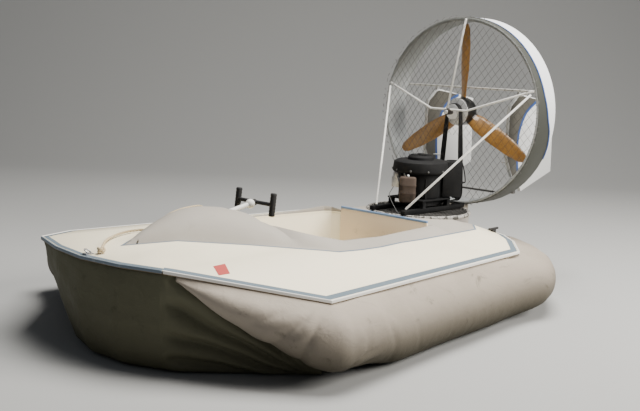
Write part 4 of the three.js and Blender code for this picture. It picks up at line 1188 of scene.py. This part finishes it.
def turned(name, rows, place, axis, material, sides=20):
    """A turned piece: rows of distance along the axis and radius."""
    axis = Vector(axis).normalized()
    u = axis.cross(Vector((0.3, 0.8, 0.5))).normalized()
    v = axis.cross(u)
    verts = [Vector(place) + axis * d + (u * c + v * s) * r for d, r in rows for c, s in circle(sides)]
    faces = grid_faces(len(rows), sides, True) + end_caps(len(rows), sides)
    made = mesh_object(name, verts, faces, material)
    for p in made.data.polygons:
        p.use_smooth = len(p.vertices) == 4
    return made


bolt_steel = metal("bolt_steel", (0.11, 0.11, 0.11), 0.5, (0.05, 0.04, 0.03), 0.5, 0.7)
HOUSING_LOW = 0.6706
BOLT = [(0, 0.0062), (0.004, 0.0062), (0.0052, 0.0048), (0.0056, 0.0001)]
fittings = []
for c, s in circle(10, 0.5):
    out = Vector((c, s, 0))
    place = Vector((LIFT_X, 0, HOUSING_LOW + 0.014)) + out * 0.1632
    if out.x > -0.2:
        fittings.append(turned("bolt", BOLT, place, out, bolt_steel, 8))
for c, s in circle(24):
    ends = [Vector((LIFT_X, 0, HOUSING_LOW + 0.0995)) + Vector((c, s, 0)) * r for r in (0.020, 0.062)]
    fittings.append(tube("rib", ends, 0.0022, engine_black, 5))
fittings.append(turned("cap", [(0, 0.024), (0.007, 0.024), (0.010, 0.020), (0.0105, 0.001)],
                       (LIFT_X, 0, HOUSING_LOW + 0.098), (0, 0, 1), engine_black))
own(join("housing_fittings", fittings), "engine_black")

HEAD_TURN = radians(32)
HEAD_OUT = 0.246
HEAD_Z = 0.606
plumbing = []
for side in (1, -1):
    along = Vector((-cos(HEAD_TURN), side * sin(HEAD_TURN), 0))
    head = Vector((LIFT_X, 0, HEAD_Z)) + along * HEAD_OUT
    plumbing.append(turned("boot", [(0, 0.011), (0.016, 0.0105), (0.022, 0.007), (0.034, 0.0055)],
                           head, along, rubber, 12))
    start = head + along * 0.034
    loop = [start, start + along * 0.010 + Vector((0, 0, 0.006))]
    # Rows: way out from the head and height over it
    for out_by, up_by in ((0.036, 0.06), (0.014, 0.122), (-0.030, 0.1325), (-0.080, 0.1325)):
        loop.append(head + along * out_by + Vector((0, 0, up_by)))
    plumbing.append(tube("lead", smooth_line(loop, 6), 0.0036, rubber, 6))
    for off in (-0.034, 0.034):
        across = Vector((-along.y, along.x, 0))
        place = head + across * off + Vector((0, 0, 0.036)) - along * 0.001
        plumbing.append(turned("bolt", BOLT, place, along, bolt_steel, 8))
own(join("plug_leads", plumbing), "belt_rubber")

# Muffler can: rows of height and size, its rounded outline across, and a stub to the engine
CAN_ROWS = [
    (0.000, 0.86), (0.004, 0.95), (0.010, 1.0), (0.046, 1.0), (0.049, 1.035), (0.054, 1.035), (0.057, 1.0),
    (0.092, 1.0), (0.095, 1.035), (0.100, 1.035), (0.103, 1.0), (0.136, 1.0), (0.142, 0.95), (0.146, 0.86),
]
CAN_SIDES = 40
CAN_POWER = 3.4
can_wide = Vector((-0.682, 0.731, 0)) * 0.048
can_deep = Vector((0.731, 0.682, 0)) * 0.032
can_at = Vector((-0.540 + SHIFT, 0.046, 0.508))
verts = []
for up_by, grow in CAN_ROWS:
    for c, s in circle(CAN_SIDES):
        round_off = (abs(c) ** CAN_POWER + abs(s) ** CAN_POWER) ** (-1 / CAN_POWER) * grow
        verts.append(can_at + Vector((0, 0, up_by)) + can_wide * (c * round_off) + can_deep * (s * round_off))
faces = grid_faces(len(CAN_ROWS), CAN_SIDES, True) + end_caps(len(CAN_ROWS), CAN_SIDES)
stub = [can_at + Vector((-0.010, -0.004, 0.052)), can_at + Vector((-0.050, -0.006, 0.052))]
can = [mesh_object("can", verts, faces, muffler_rust), tube("stub", stub, 0.013, muffler_rust, 14)]
own(join("muffler_can", can), "muffler_rust", "muffler")

_, muffler_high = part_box("muffler")
top_of_muffler = Vector((can_at.x, can_at.y, muffler_high.z))
case_fore = LIFT_X + 0.119
bracket = [
    (case_fore + x, y, z)
    for x, y, z in ((0, 0.004, 0.640), (0.014, 0.002, 0.646), (0.020, -0.006, 0.662), (0.016, -0.012, 0.668))
]
CABLE = [
    (-0.586, -0.090, 0.585), (-0.560, -0.088, 0.562), (-0.520, -0.070, 0.545), (-0.486, -0.040, 0.532),
    (-0.462, 0.004, 0.500), (-0.446, 0.048, 0.466), (-0.432, 0.078, 0.4545),
]
cable = [Vector((x + SHIFT, y, z)) for x, y, z in CABLE]
own(join("bright_fittings", [
    turned("nut", [(0, 0.008), (0.012, 0.008), (0.013, 0.005)],
           top_of_muffler + Vector((0, 0, -0.001)), (0, 0, 1), bright_alloy, 6),
    tube("link", bracket, 0.0042, bright_alloy, 6),
    tube("cable", smooth_line(cable, 8), 0.0020, bolt_steel, 6),
]), "engine_alloy")

# Steering: ribbed grips

grips = []
GRIP_STEPS = 14
for side in (1, -1):
    low_end = Vector((0.624 + SHIFT, side * 0.125, 0.540))
    axis = Vector((0.612 + SHIFT, side * 0.125, 0.652)) - low_end
    rows = [(axis.length * k / GRIP_STEPS, 0.0162 if k % 2 else 0.0146) for k in range(GRIP_STEPS + 1)]
    rows = [(-0.0012, 0.012), *rows, (axis.length + 0.0012, 0.012)]
    grips.append(turned("grip", rows, low_end, axis, grip_black, 18))
own(join("yoke_grips", grips), "grip_black", body="steering")

# Floor and backdrop

SWEEP_FROM = 5.5
SWEEP_R = 4


def backdrop():
    """A floor that sweeps up behind the craft."""
    look = Vector((CAMERA_LOOK.x, CAMERA_LOOK.y)).normalized()
    side = Vector((-look.y, look.x))
    profile = [(-12, 0.0), (SWEEP_FROM, 0.0)]
    for i in range(1, 13):
        a = i / 12 * pi / 2
        profile.append((SWEEP_FROM + SWEEP_R * sin(a), SWEEP_R - SWEEP_R * cos(a)))
    profile.append((SWEEP_FROM + SWEEP_R, 14))
    verts = []
    for d, z in profile:
        for s in (-16, 16):
            verts.append((*(look * d + side * s), z))
    return mesh_object("studio_floor", verts, grid_faces(len(profile), 2), floor_paint)


floor_paint = Paint("studio_floor", (0.36, 0.36, 0.355), 0.9).mat
backdrop()

world = bpy.data.worlds.new("studio")
world.use_nodes = True
sky_light = world.node_tree.nodes["Background"].inputs
sky_light["Color"].default_value = (0.80, 0.86, 0.95, 1)
sky_light["Strength"].default_value = 0.14
bpy.context.scene.world = world


def area(name, place, aim, size, power, colour):
    data = bpy.data.lights.new(name, "AREA")
    data.size = size
    data.energy = power
    data.color = colour
    light = linked(bpy.data.objects.new(name, data))
    light.location = place
    light.rotation_euler = (Vector(aim) - Vector(place)).to_track_quat("-Z", "Y").to_euler()


area("sky", (-0.8, 0.8, 6.0), (0, 0, 0.3), 3.6, 840, (1.0, 0.98, 0.93))
area("side", (-2.6, 5.6, 3.6), (0, 0, 0.4), 3.0, 700, (1.0, 0.965, 0.90))

low, high = CAD_BOX
